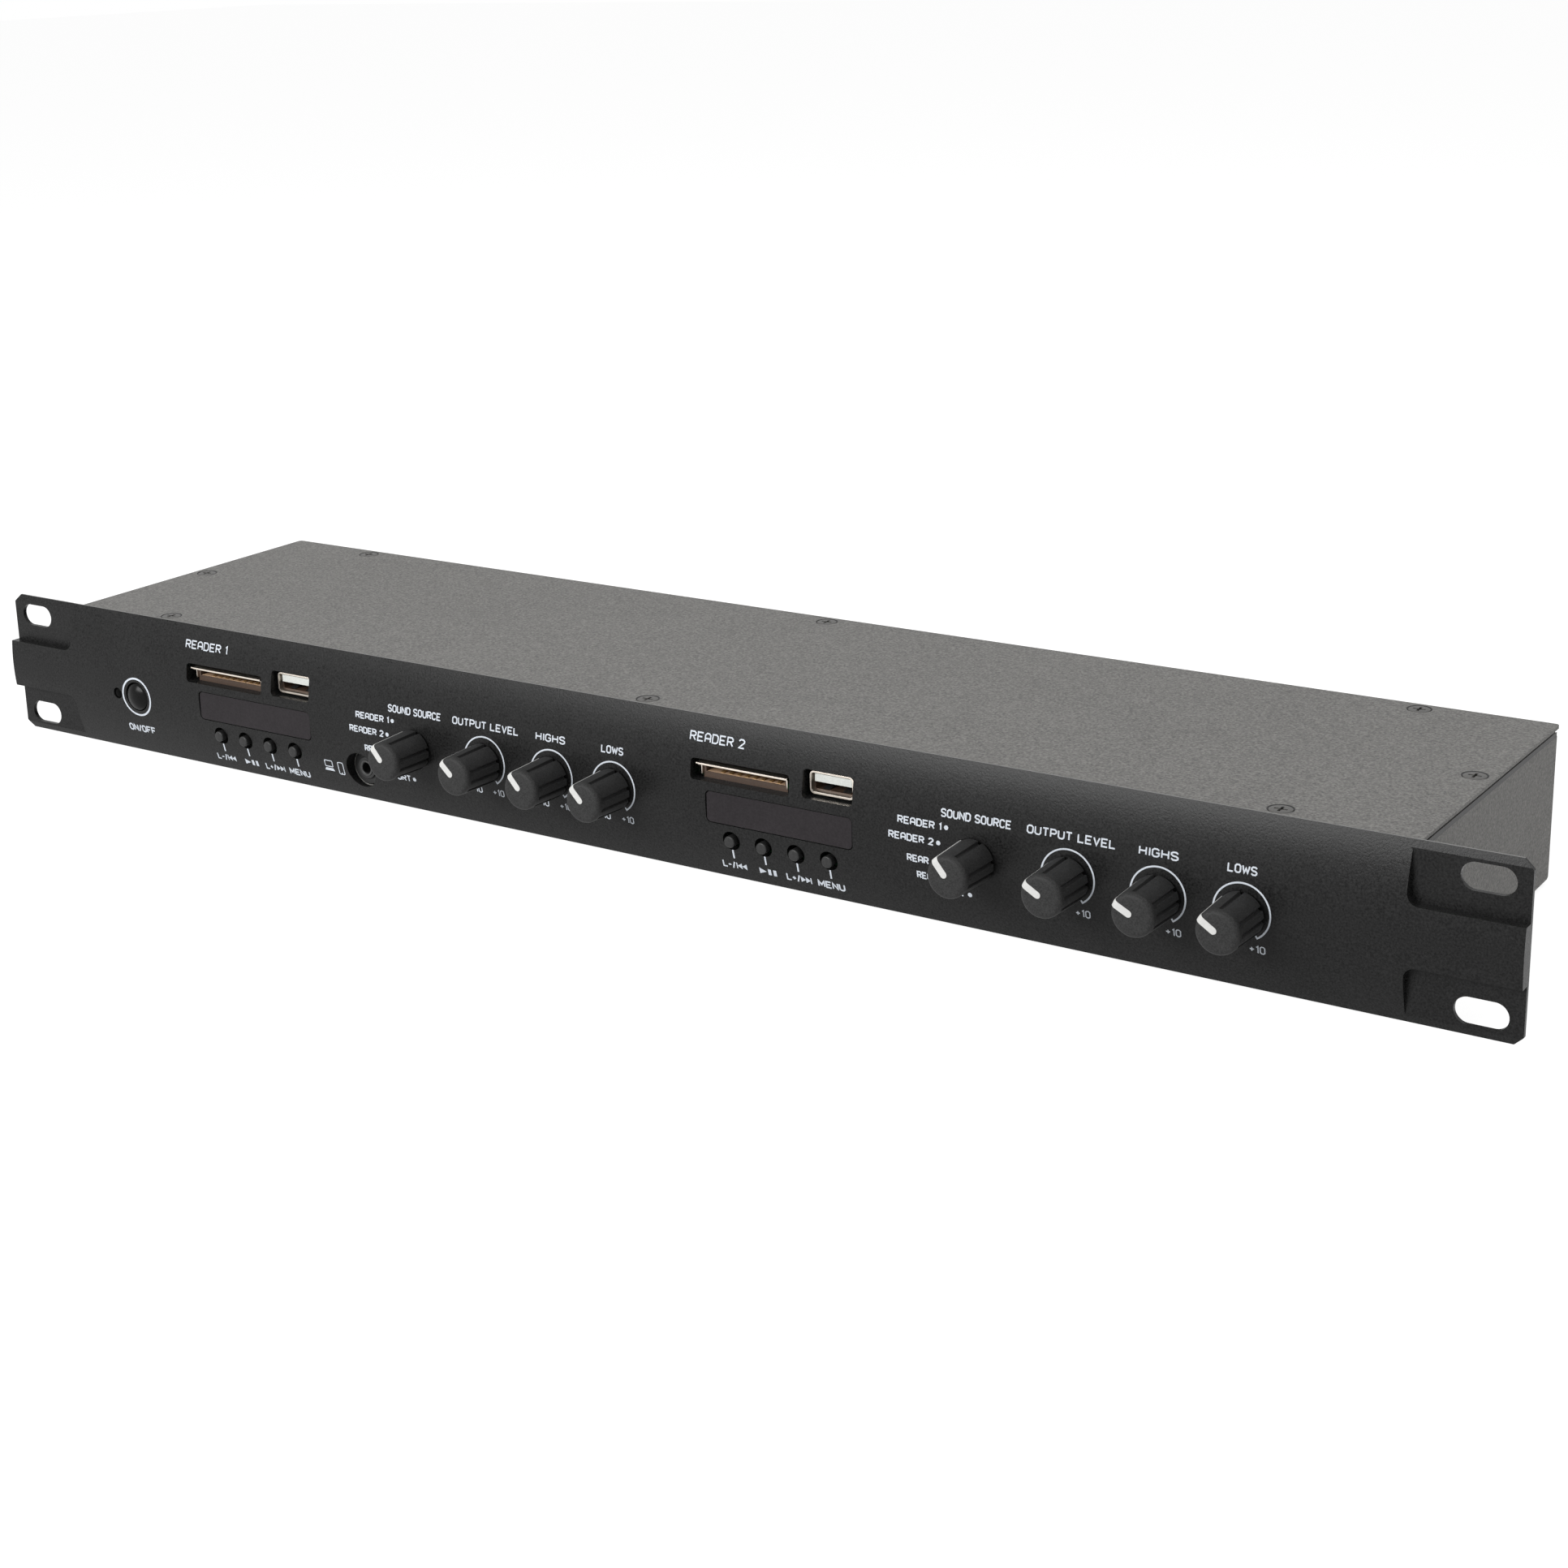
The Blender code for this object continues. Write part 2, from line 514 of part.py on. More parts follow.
def tray_shape():
    """The folded tray: floor, four walls, turned-in flanges and a relief cut at each front corner."""
    half = TRAY_WIDTH / 2
    outline = rounded((0, TRAY_HEIGHT / 2), (TRAY_WIDTH, TRAY_HEIGHT), TRAY_BEND)
    tray = prism(outline, WALL_FRONT_Y, TRAY_REAR_Y)
    shoulder = TRAY_HEIGHT - SHOULDER_DROP
    relief = WALL_FRONT_Y + RELIEF_SETBACK
    corners = []
    reliefs = []
    for side in (-1, 1):
        low, high = sorted((side * half, side * (half - TRAY_BEND)))
        corners.append(block((low, WALL_FRONT_Y, shoulder - TRAY_BEND), (high, relief, shoulder)))
        low, high = sorted((side * (half + OVERRUN), side * (half - TRAY_BEND)))
        end = relief + RELIEF_WIDTH
        reliefs.append(block((low, relief, TRAY_HEIGHT - RELIEF_DEPTH), (high, end, TRAY_HEIGHT + OVERRUN)))
    tray = join(tray, corners)
    hollow = block((SHEET - half, WALL_BACK_Y, SHEET), (half - SHEET, REAR_WALL_Y, TRAY_HEIGHT - SHEET))
    mouth = block(
        (FLANGE - half, WALL_FRONT_Y + FLANGE, TRAY_HEIGHT - SHEET - OVERRUN),
        (half - FLANGE, TRAY_REAR_Y - FLANGE, TRAY_HEIGHT + OVERRUN),
    )
    tray = cut(tray, [hollow, mouth] + reliefs)

    holes = []
    for x in DECK_PLACES:
        left = CARD_X - card_hole_size()[0] / 2 - RUN_GAP * 2
        right = DISPLAY_WIDTH / 2 + WINDOW_LEDGE + RUN_GAP * 2
        size = (right - left, PANEL_HEIGHT * DECK_CUTOUT_SHARE)
        holes.append(rounded((x + (left + right) / 2, PANEL_MIDDLE), size, SHEET, 1))
    for x in GROUP_PLACES:
        for offset in CONTROLS.values():
            holes.append(ring((x + offset, KNOB_ROW_Z), BUSHING_RADIUS + RUN_GAP, PLAIN_ROUND))
    holes.append(ring((POWER_X, POWER_ROW_Z), POWER_HOLE_RADIUS + RUN_GAP, SMALL_ROUND))
    holes.append(ring((PILOT_X, POWER_ROW_Z), PILOT_COLLAR + RUN_GAP, SMALL_ROUND))
    holes.append(ring((AUX_X, AUX_ROW_Z), AUX_BARREL_RADIUS + RUN_GAP))
    tools = [prism(hole, WALL_FRONT_Y - SEAT_GAP, INSIDE_Y) for hole in holes]

    holes = [rounded((INLET_X, INLET_ROW_Z), (INLET_WIDTH + RUN_GAP * 2, INLET_HEIGHT + RUN_GAP * 2), INLET_CORNER)]
    for x in JACK_PLACES.values():
        for z in jack_heights():
            holes.append(ring((x, z), JACK_BARREL_RADIUS + RUN_GAP, PLAIN_ROUND))
    tools += [prism(hole, REAR_WALL_Y - SEAT_GAP, TRAY_REAR_Y + SEAT_GAP) for hole in holes]
    for x, y in screw_places():
        hole = ring((x, y), SCREW_SHANK_RADIUS + SCREW_SINK_GAP, PLAIN_ROUND)
        tools.append(prism(hole, TRAY_HEIGHT - SHEET - SEAT_GAP, TRAY_HEIGHT + SEAT_GAP, "Z"))
    return cut(tray, tools)


def screw_places():
    """The eight cover screws: three along the front, three along the back, one at each side."""
    rear = COVER_REAR_Y - COVER_SCREW_REAR_INSET
    out = TRAY_WIDTH / 2 - COVER_SCREW_INSET_X
    rows = [(x, y) for y in (COVER_SCREW_FRONT_Y, rear) for x in (-out, 0, out)]
    middle = (COVER_SCREW_FRONT_Y + rear) / 2
    edge = TRAY_WIDTH / 2 - COVER_SCREW_SIDE_INSET
    return rows + [(side * edge, middle) for side in (-1, 1)]


def cover_shape():
    """The flat cover with its countersunk holes."""
    depth = COVER_REAR_Y - WALL_FRONT_Y
    size = (TRAY_WIDTH + COVER_LIP * 2, depth)
    outline = rounded((0, WALL_FRONT_Y + depth / 2), size, COVER_CORNER)
    cover = prism(outline, COVER_FLOOR_Z, COVER_TOP_Z, "Z")
    wide = SCREW_HEAD_RADIUS + SCREW_SINK_GAP
    low, high = COVER_FLOOR_Z - SCREW_SINK_GAP, COVER_TOP_Z + SCREW_SINK_GAP
    sinks = []
    for x, y in screw_places():
        cone = lathe([
            (0, low), (wide - COVER_SHEET - SCREW_SINK_GAP, low), (wide + SCREW_SINK_GAP, high), (0, high),
        ], PLAIN_ROUND, "Z")
        sinks.append(moved(cone, x=x, y=y))
    return cut(cover, sinks)


def screw_shape():
    """A countersunk screw that points down, with a cross recess, its head's top at its origin."""
    screw = lathe([
        (0, 0), (SCREW_HEAD_RADIUS, 0), (SCREW_SHANK_RADIUS, SCREW_SHANK_RADIUS - SCREW_HEAD_RADIUS),
        (SCREW_SHANK_RADIUS, -SCREW_LENGTH), (0, -SCREW_LENGTH),
    ], PLAIN_ROUND, "Z")
    long, thin, deep = SCREW_CROSS_LENGTH / 2, SCREW_CROSS_WIDTH / 2, SCREW_CROSS_DEPTH
    arms = join(block((-long, -thin, -deep), (long, thin, deep)), [block((-thin, -long, -deep), (thin, long, deep))])
    return cut(screw, [arms])


def window_shape():
    """A deck's smoked window: a plate that fills the cut-out and a ledge behind the panel."""
    size = (DISPLAY_WIDTH - RUN_GAP * 2, DISPLAY_HEIGHT - RUN_GAP * 2)
    ledge = (DISPLAY_WIDTH + WINDOW_LEDGE * 2, DISPLAY_HEIGHT + WINDOW_LEDGE * 2)
    plate = prism(rounded((0, 0), size, DISPLAY_CORNER), DISPLAY_INSET - PANEL_CROWN, WALL_FRONT_Y + FUSE_DEPTH)
    return join(plate, [prism(rounded((0, 0), ledge, DISPLAY_CORNER), WALL_FRONT_Y, WALL_BACK_Y)])


def card_socket_shape():
    """A card socket: a shallow body that is open at the front, under a wider steel lid."""
    lid = CARD_LID_WIDTH / 2
    body = lid - CARD_LID_LAP
    front = SOCKET_FRONT_Y
    under = CARD_HEIGHT - CARD_LID
    right = [(body, 0), (body, under), (lid, under), (lid, CARD_HEIGHT)]
    outline = right + [(-x, z) for x, z in reversed(right)]
    shell = prism(outline, front, front + CARD_DEPTH)
    slot = body - CARD_SIDE
    return cut(shell, [block((-slot, front - OVERRUN, CARD_FLOOR), (slot, front + CARD_SLOT_DEPTH, under))])


def usb_shell_shape():
    """A USB socket's steel shell, open at both ends."""
    middle = (0, USB_HEIGHT / 2)
    front = SOCKET_FRONT_Y
    outer = prism(rounded(middle, (USB_WIDTH, USB_HEIGHT), USB_CORNER), front, front + USB_DEPTH)
    inside = (USB_WIDTH - USB_SHELL * 2, USB_HEIGHT - USB_SHELL * 2)
    bore = rounded(middle, inside, USB_CORNER - USB_SHELL)
    return cut(outer, [prism(bore, front - OVERRUN, front + USB_DEPTH + OVERRUN)])


def usb_tongue_shape():
    """The plastic block in a USB shell and the tongue that carries its contacts."""
    front = SOCKET_FRONT_Y
    back = front + USB_DEPTH
    wall = USB_SHELL + RUN_GAP
    top = USB_HEIGHT - USB_SHELL - USB_TONGUE_DROP
    tongue = USB_TONGUE_WIDTH / 2
    outline = rounded((0, USB_HEIGHT / 2), (USB_WIDTH - wall * 2, USB_HEIGHT - wall * 2), USB_CORNER - wall)
    base = prism(outline, back - USB_BLOCK_DEPTH, back - RUN_GAP)
    low = (-tongue, front + USB_TONGUE_SETBACK, top - USB_TONGUE_THICKNESS)
    return join(base, [block(low, (tongue, back - USB_BLOCK_DEPTH + FUSE_DEPTH, top))])


def key_shape():
    """A deck button: a round plunger that reaches into its switch."""
    front = crown_y(KEY_ROW_Z) - KEY_PROUD
    seat = KEY_BOARD_Y - TACT_DEPTH + TACT_BORE_DEPTH
    back = seat - SEAT_GAP - KEY_TRAVEL
    return lathe([
        (0, front), (KEY_RADIUS - KEY_EDGE, front), (KEY_RADIUS, front + KEY_EDGE), (KEY_RADIUS, back), (0, back),
    ], SMALL_ROUND)


def deck_board_shape():
    """A deck's level socket board on pillars and its upright key board, with display and switches."""
    half = DECK_BOARD_WIDTH / 2
    wide = DISPLAY_WIDTH / 2 + KEY_BOARD_MARGIN
    top = DECK_BOARD_TOP_Z
    floor = top - BOARD
    back = INSIDE_Y + DECK_BOARD_DEPTH
    face = KEY_BOARD_Y + FUSE_DEPTH
    level = block((-half, INSIDE_Y, floor), (half, back, top))
    pieces = [block((-wide, KEY_BOARD_Y, KEY_BOARD_FOOT_Z), (wide, KEY_BOARD_Y + BOARD, floor + FUSE_DEPTH))]
    module, rise = DISPLAY_MODULE_WIDTH / 2, DISPLAY_MODULE_HEIGHT / 2
    low, high = DISPLAY_ROW_Z - rise, DISPLAY_ROW_Z + rise
    pieces.append(block((-module, INSIDE_Y, low), (module, face, high)))
    reach, start = TACT_SIZE / 2, KEY_BOARD_Y - TACT_DEPTH
    for x in KEY_OFFSETS:
        pieces.append(block((x - reach, start, KEY_ROW_Z - reach), (x + reach, face, KEY_ROW_Z + reach)))
    for side in (-1, 1):
        for share in PILLAR_DEPTH_SHARES:
            spot = (side * DECK_PILLAR_X, INSIDE_Y + DECK_BOARD_DEPTH * share)
            pillar = ring(spot, POST_RADIUS, POST_ROUND)
            pieces.append(prism(pillar, SHEET + SEAT_GAP, floor + FUSE_DEPTH, "Z"))
    pieces.append(header_block(HEADER_X, back - HEADER_SETBACK, top))
    board = join(level, pieces)
    bores = []
    for x in KEY_OFFSETS:
        bore = ring((x, KEY_ROW_Z), KEY_RADIUS + RUN_GAP, SMALL_ROUND)
        bores.append(prism(bore, start - OVERRUN, start + TACT_BORE_DEPTH))
    return cut(board, bores)


def header_block(x, y, floor):
    """A ribbon cable's socket on a board."""
    low = (x - HEADER_WIDTH / 2, y - HEADER_DEPTH / 2, floor - FUSE_DEPTH)
    return block(low, (x + HEADER_WIDTH / 2, y + HEADER_DEPTH / 2, floor + HEADER_HEIGHT))


def knob_shape():
    """A fluted knob on its shaft, which points to +X before it is turned to its setting."""
    rim = [
        (KNOB_FACE_RADIUS - KNOB_RIM * (1 - out), KNOB_FACE_Y + KNOB_RIM * (1 - deep))
        for out, deep in KNOB_RIM_SHARES
    ]
    knob = lathe([(0, KNOB_FACE_Y)] + rim + [(KNOB_RADIUS, KNOB_BACK_Y), (0, KNOB_BACK_Y)])
    hollow = KNOB_BACK_Y - KNOB_RECESS_DEPTH
    recess = prism(ring((0, 0), BUSHING_RADIUS + KNOB_RECESS_GAP, PLAIN_ROUND), hollow, KNOB_BACK_Y + OVERRUN)
    end = POT_BACK_Y - POT_FLOOR - SHAFT_END_GAP
    shaft = prism(ring((0, 0), SHAFT_RADIUS, PLAIN_ROUND), hollow - KNOB_RECESS_DEPTH, end)
    flutes = []
    for angle in FLUTE_ANGLES:
        floor, side = KNOB_FACE_RADIUS - FLUTE_DEPTH, FLUTE_WIDTH / 2
        corners = [(floor, -side), (floor + OVERRUN, -side), (floor + OVERRUN, side), (floor, side)]
        c, s = cos(radians(angle)), sin(radians(angle))
        outline = [(c * x - s * z, s * x + c * z) for x, z in corners]
        flutes.append(prism(outline, KNOB_FACE_Y + FLUTE_STOP, KNOB_BACK_Y + SEAT_GAP))
    return join(cut(knob, flutes + [recess]), [shaft])


def pot_shape(width, height):
    """A pot or a rotary switch: its case, and the bushing that its shaft turns in."""
    case = block((-width / 2, INSIDE_Y, -height / 2), (width / 2, POT_BACK_Y, height / 2))
    bushing = prism(ring((0, 0), BUSHING_RADIUS, PLAIN_ROUND), BUSHING_FRONT_Y, INSIDE_Y + FUSE_DEPTH)
    bore = prism(ring((0, 0), SHAFT_RADIUS + RUN_GAP, SMALL_ROUND), BUSHING_FRONT_Y - OVERRUN, POT_BACK_Y - POT_FLOOR)
    return cut(join(case, [bushing]), [bore])


def control_board_shape(left, right, posts):
    """An upright board behind a row of pots, on posts that reach the tray's front wall."""
    low = KNOB_ROW_Z - CONTROL_BOARD_HEIGHT / 2
    board = block((left, CONTROL_BOARD_Y, low), (right, CONTROL_BOARD_Y + BOARD, low + CONTROL_BOARD_HEIGHT))
    pieces = []
    for x in posts:
        for side in (-1, 1):
            z = KNOB_ROW_Z + side * (CONTROL_BOARD_HEIGHT / 2 - POST_RADIUS)
            pieces.append(prism(ring((x, z), POST_RADIUS, POST_ROUND), INSIDE_Y, CONTROL_BOARD_Y + FUSE_DEPTH))
    return join(board, pieces)


def aux_shape():
    """The auxiliary jack: a case, a barrel in the panel's hole and a nose round its bore."""
    half, rise = AUX_BODY_WIDTH / 2, AUX_BODY_HEIGHT / 2
    case = block((-half, INSIDE_Y, -rise), (half, POT_BACK_Y, rise))
    front = AUX_SETBACK + AUX_NOSE
    barrel = lathe([
        (0, AUX_SETBACK), (AUX_NOSE_RADIUS, AUX_SETBACK), (AUX_NOSE_RADIUS, front),
        (AUX_BARREL_RADIUS, front), (AUX_BARREL_RADIUS, INSIDE_Y + FUSE_DEPTH), (0, INSIDE_Y + FUSE_DEPTH),
    ])
    bore = prism(ring((0, 0), AUX_BORE_RADIUS, PLAIN_ROUND), -OVERRUN, POT_BACK_Y - POT_FLOOR)
    return cut(join(case, [barrel]), [bore])


def power_button_shape():
    """The domed power cap and the stem that reaches into its switch."""
    start = POWER_FACE_Y
    edge = start + POWER_DOME
    back = edge + POWER_CAP_LENGTH
    end = POWER_STEM_END_Y
    dome = (POWER_CAP_RADIUS ** 2 + POWER_DOME ** 2) / (2 * POWER_DOME)
    profile = []
    for step in range(ARC_STEPS + 1):
        radius = POWER_CAP_RADIUS * step / ARC_STEPS
        profile.append((radius, start + dome - sqrt(dome ** 2 - radius ** 2)))
    profile += [(POWER_CAP_RADIUS, back), (POWER_STEM_RADIUS, back), (POWER_STEM_RADIUS, end), (0, end)]
    return lathe(profile)


def power_switch_shape():
    """The mains switch behind the power cap, with a bore for the stem."""
    half, rise = POWER_SWITCH_WIDTH / 2, POWER_SWITCH_HEIGHT / 2
    case = block((-half, INSIDE_Y, -rise), (half, INSIDE_Y + POWER_SWITCH_DEPTH, rise))
    end = POWER_STEM_END_Y + POWER_TRAVEL + SEAT_GAP
    return cut(case, [prism(ring((0, 0), POWER_STEM_RADIUS + RUN_GAP), -OVERRUN, end)])


def pilot_shape():
    """The pilot light: a lens set into the panel, with a collar behind it."""
    front = crown_y(POWER_ROW_Z) + PILOT_INSET
    return lathe([
        (0, front - PILOT_DOME), (PILOT_RADIUS, front), (PILOT_RADIUS, WALL_FRONT_Y), (PILOT_COLLAR, WALL_FRONT_Y),
        (PILOT_COLLAR, WALL_BACK_Y), (0, WALL_BACK_Y),
    ], SMALL_ROUND)


def floor_board_shape(left, right, front, back, extras):
    """A level board on four standoffs, with the blocks and cans that it carries."""
    board = block((left, front, BOARD_UNDERSIDE_Z), (right, back, BOARD_TOP_Z))
    pieces = list(extras)
    for x in (left + STANDOFF_INSET, right - STANDOFF_INSET):
        for y in (front + STANDOFF_INSET, back - STANDOFF_INSET):
            foot = ring((x, y), POST_RADIUS, POST_ROUND)
            pieces.append(prism(foot, SHEET + SEAT_GAP, BOARD_UNDERSIDE_Z + FUSE_DEPTH, "Z"))
    for across, deep in CAPACITOR_SHARES:
        spot = (right - (right - left) * across, front + (back - front) * deep)
        can = ring(spot, CAPACITOR_RADIUS, PLAIN_ROUND)
        pieces.append(prism(can, BOARD_TOP_Z - FUSE_DEPTH, BOARD_TOP_Z + CAPACITOR_HEIGHT, "Z"))
    return join(board, pieces)


def supply_shape():
    """The power supply: its board, its cans and its transformer."""
    left = SUPPLY_LEFT_X + TRANSFORMER_INSET
    middle = (SUPPLY_FRONT_Y + SUPPLY_BACK_Y) / 2
    reach = TRAY_DEPTH * TRANSFORMER_DEPTH_SHARE / 2
    top = BOARD_TOP_Z + TRAY_HEIGHT * TRANSFORMER_HEIGHT_SHARE
    low, high = (left, middle - reach, BOARD_TOP_Z - FUSE_DEPTH), (left + TRANSFORMER_WIDTH, middle + reach, top)
    transformer = block(low, high)
    return floor_board_shape(SUPPLY_LEFT_X, SUPPLY_RIGHT_X, SUPPLY_FRONT_Y, SUPPLY_BACK_Y, [transformer])


def main_board_shape():
    """The main board, with the sockets of the two ribbon cables."""
    headers = [header_block(x + HEADER_X, MAIN_HEADER_Y, BOARD_TOP_Z) for x in DECK_PLACES]
    return floor_board_shape(MAIN_LEFT_X, MAIN_RIGHT_X, MAIN_FRONT_Y, MAIN_BACK_Y, headers)


def ribbon_shape():
    """A flat cable that leaves a deck board upwards and comes down on the main board."""
    start_y = INSIDE_Y + DECK_BOARD_DEPTH - HEADER_SETBACK
    start_z = DECK_BOARD_TOP_Z + HEADER_HEIGHT + SEAT_GAP
    drop = start_z - (BOARD_TOP_Z + HEADER_HEIGHT + SEAT_GAP)
    reach = MAIN_HEADER_Y - start_y
    upper, lower = [], []
    for step in range(RIBBON_STEPS + 1):
        turn = pi * step / RIBBON_STEPS
        ahead = (1 - cos(turn)) / 2
        y, z = start_y + reach * ahead, start_z - drop * ahead + RIBBON_RISE * sin(turn)
        slope_y = reach * sin(turn) / 2
        slope_z = RIBBON_RISE * cos(turn) - drop * sin(turn) / 2
        length = sqrt(slope_y ** 2 + slope_z ** 2)
        off_y, off_z = (RIBBON_THICKNESS / 2 * part / length for part in (-slope_z, slope_y))
        upper.append((y + off_y, z + off_z))
        lower.append((y - off_y, z - off_z))
    return prism(upper + lower[::-1], -RIBBON_WIDTH / 2, RIBBON_WIDTH / 2, "X")


def jack_heights():
    """The heights of the two barrels of a pair of phono jacks."""
    middle = BOARD_TOP_Z + SEAT_GAP + JACK_BODY_HEIGHT / 2
    pitch = TRAY_HEIGHT * JACK_PITCH_SHARE
    return (middle - pitch / 2, middle + pitch / 2)


def jack_pair_shape():
    """Two stacked phono jacks: one case and two barrels that pass through the rear wall."""
    half, floor = JACK_BODY_WIDTH / 2, BOARD_TOP_Z + SEAT_GAP
    back = REAR_WALL_Y - SEAT_GAP
    case = block((-half, back - JACK_BODY_DEPTH, floor), (half, back, floor + JACK_BODY_HEIGHT))
    reach, hollow = JACK_REACH_Y, JACK_REACH_Y - JACK_RIM_DEPTH
    barrels = []
    for z in jack_heights():
        barrel = lathe([
            (0, back - FUSE_DEPTH), (JACK_BARREL_RADIUS, back - FUSE_DEPTH), (JACK_BARREL_RADIUS, reach),
            (JACK_BARREL_RADIUS - JACK_RIM, reach), (JACK_BARREL_RADIUS - JACK_RIM, hollow),
            (JACK_CENTRE_RADIUS, hollow), (JACK_CENTRE_RADIUS, back + JACK_RIM), (0, back + JACK_RIM),
        ], PLAIN_ROUND)
        barrels.append(moved(barrel, z=z))
    return join(case, barrels)


def inlet_shape():
    """The mains inlet: a lip outside the rear wall, a case through it and three pins."""
    start, mouth = INLET_START_Y, INLET_MOUTH_Y
    case = prism(rounded((0, 0), (INLET_WIDTH, INLET_HEIGHT), INLET_CORNER), start, mouth)
    lip_size = (INLET_WIDTH + INLET_LIP * 2, INLET_HEIGHT + INLET_LIP * 2)
    lip = prism(rounded((0, 0), lip_size, INLET_CORNER + INLET_LIP), TRAY_REAR_Y + SEAT_GAP, mouth)
    inside = (INLET_WIDTH - INLET_WALL * 2, INLET_HEIGHT - INLET_WALL * 2)
    well = prism(rounded((0, 0), inside, INLET_CORNER - INLET_WALL), start + INLET_FLOOR, mouth + OVERRUN)
    shell = cut(join(case, [lip]), [well])
    pins = []
    for across, up in PIN_PLACE_SHARES:
        x, z = across * INLET_PIN_PITCH, up * INLET_PIN_RISE
        low = (x - INLET_PIN_WIDTH / 2, start + INLET_FLOOR - FUSE_DEPTH, z - INLET_PIN_HEIGHT / 2)
        pins.append(block(low, (x + INLET_PIN_WIDTH / 2, low[1] + INLET_PIN_LENGTH, z + INLET_PIN_HEIGHT / 2)))
    return join(shell, pins)


def materials():
    """One finish for each kind of surface."""
    return {
        "panel": material("panel_black", (0.034, 0.034, 0.034), 0.45, 0.3),
        "case": material("case_grey", (0.19, 0.188, 0.182), 0.55, 0.2),
        "knob": material("knob_black", (0.026, 0.026, 0.026), 0.6),
        "smoke": material("smoked_window", (0.045, 0.04, 0.043), 0.15),
        "steel": material("bright_steel", (0.55, 0.52, 0.49), 0.3, 1.0),
        "zinc": material("black_zinc", (0.05, 0.05, 0.05), 0.4, 0.8),
        "plastic": material("black_plastic", (0.02, 0.02, 0.02), 0.5),
        "tongue": material("pale_plastic", (0.5, 0.52, 0.54), 0.5),
        "board": material("green_board", (0.02, 0.12, 0.05), 0.5),
        "ribbon": material("grey_ribbon", (0.3, 0.3, 0.32), 0.6),
        "pot": material("pot_case", (0.35, 0.33, 0.3), 0.4, 0.8),
    }


def build():
    """Every sub-part of the player, on an empty that centres the unit over its footprint."""
    for thing in list(bpy.data.objects):
        bpy.data.objects.remove(thing)
    finish = materials()
    unit = bpy.data.objects.new("unit", None)
    unit.location = (0, -(KNOB_FACE_Y + JACK_REACH_Y) / 2, 0)
    bpy.context.scene.collection.objects.link(unit)

    add("front_panel", panel_shape(), finish["panel"], unit)
    add("chassis_tray", tray_shape(), finish["case"], unit)
    add("top_cover", cover_shape(), finish["case"], unit)
    screw = screw_shape()
    for i, (x, y) in enumerate(screw_places(), 1):
        add(f"cover_screw_{i}", screw, finish["zinc"], unit, (x, y, COVER_TOP_Z))

    add("power_button", power_button_shape(), finish["knob"], unit, (POWER_X, 0, POWER_ROW_Z))
    add("power_switch", power_switch_shape(), finish["plastic"], unit, (POWER_X, 0, POWER_ROW_Z))
    add("pilot_light", pilot_shape(), finish["plastic"], unit, (PILOT_X, 0, POWER_ROW_Z))

    window, board, key, ribbon = window_shape(), deck_board_shape(), key_shape(), ribbon_shape()
    card, shell, tongue = card_socket_shape(), usb_shell_shape(), usb_tongue_shape()
    for number, x in enumerate(DECK_PLACES, 1):
        add(f"display_window_{number}", window, finish["smoke"], unit, (x, 0, DISPLAY_ROW_Z))
        add(f"card_socket_{number}", card, finish["steel"], unit, (x + CARD_X, 0, DECK_SOCKET_FLOOR_Z))
        add(f"usb_shell_{number}", shell, finish["steel"], unit, (x + USB_X, 0, DECK_SOCKET_FLOOR_Z))
        add(f"usb_tongue_{number}", tongue, finish["tongue"], unit, (x + USB_X, 0, DECK_SOCKET_FLOOR_Z))
        add(f"deck_board_{number}", board, finish["board"], unit, (x, 0, 0))
        add(f"ribbon_cable_{number}", ribbon, finish["ribbon"], unit, (x + HEADER_X, 0, 0))
        for name, offset in zip(KEYS, KEY_OFFSETS):
            add(f"{name}_{number}", key, finish["knob"], unit, (x + offset, 0, KEY_ROW_Z))

    knob, pot = knob_shape(), pot_shape(POT_WIDTH, POT_HEIGHT)
    selector = pot_shape(SELECTOR_SIZE, SELECTOR_SIZE)
    for number, x in enumerate(GROUP_PLACES, 1):
        for (name, offset), pointer in zip(CONTROLS.items(), POINTER_ANGLES[number - 1]):
            place = (x + offset, 0, KNOB_ROW_Z)
            add(f"{name}_knob_{number}", knob, finish["knob"], unit, place, -radians(pointer))
            case, kind = (selector, "switch") if name == "source" else (pot, "pot")
            add(f"{name}_{kind}_{number}", case, finish["pot"], unit, place)
        posts = [x + CONTROLS["volume"] / 2, x + (CONTROLS["treble"] + CONTROLS["bass"]) / 2]
        left = AUX_X - AUX_BODY_WIDTH / 2 if number == 1 else x - CONTROL_MARGIN
        shape = control_board_shape(left, x + CONTROLS["bass"] + CONTROL_FAR_MARGIN, posts)
        add(f"control_board_{number}", shape, finish["board"], unit)
    add("aux_jack", aux_shape(), finish["plastic"], unit, (AUX_X, 0, AUX_ROW_Z))

    add("main_board", main_board_shape(), finish["board"], unit)
    add("power_supply", supply_shape(), finish["board"], unit)
    add("mains_inlet", inlet_shape(), finish["plastic"], unit, (INLET_X, 0, INLET_ROW_Z))
    jacks = jack_pair_shape()
    for name, x in JACK_PLACES.items():
        add(name, jacks, finish["plastic"], unit, (x, 0, 0))


build()
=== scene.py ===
"""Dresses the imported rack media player: shapes in full detail, finishes, printed marks, light and camera.

Lengths are in millimetres in the panel's own frame: x to the right as seen from the front,
y to the back from the front face of the ears, z up from the panel's lower edge.
place() turns them into the model's metres.
"""

import bpy
import bmesh
import json
from math import cos, hypot, pi, radians, sin, sqrt
from mathutils import Matrix, Vector


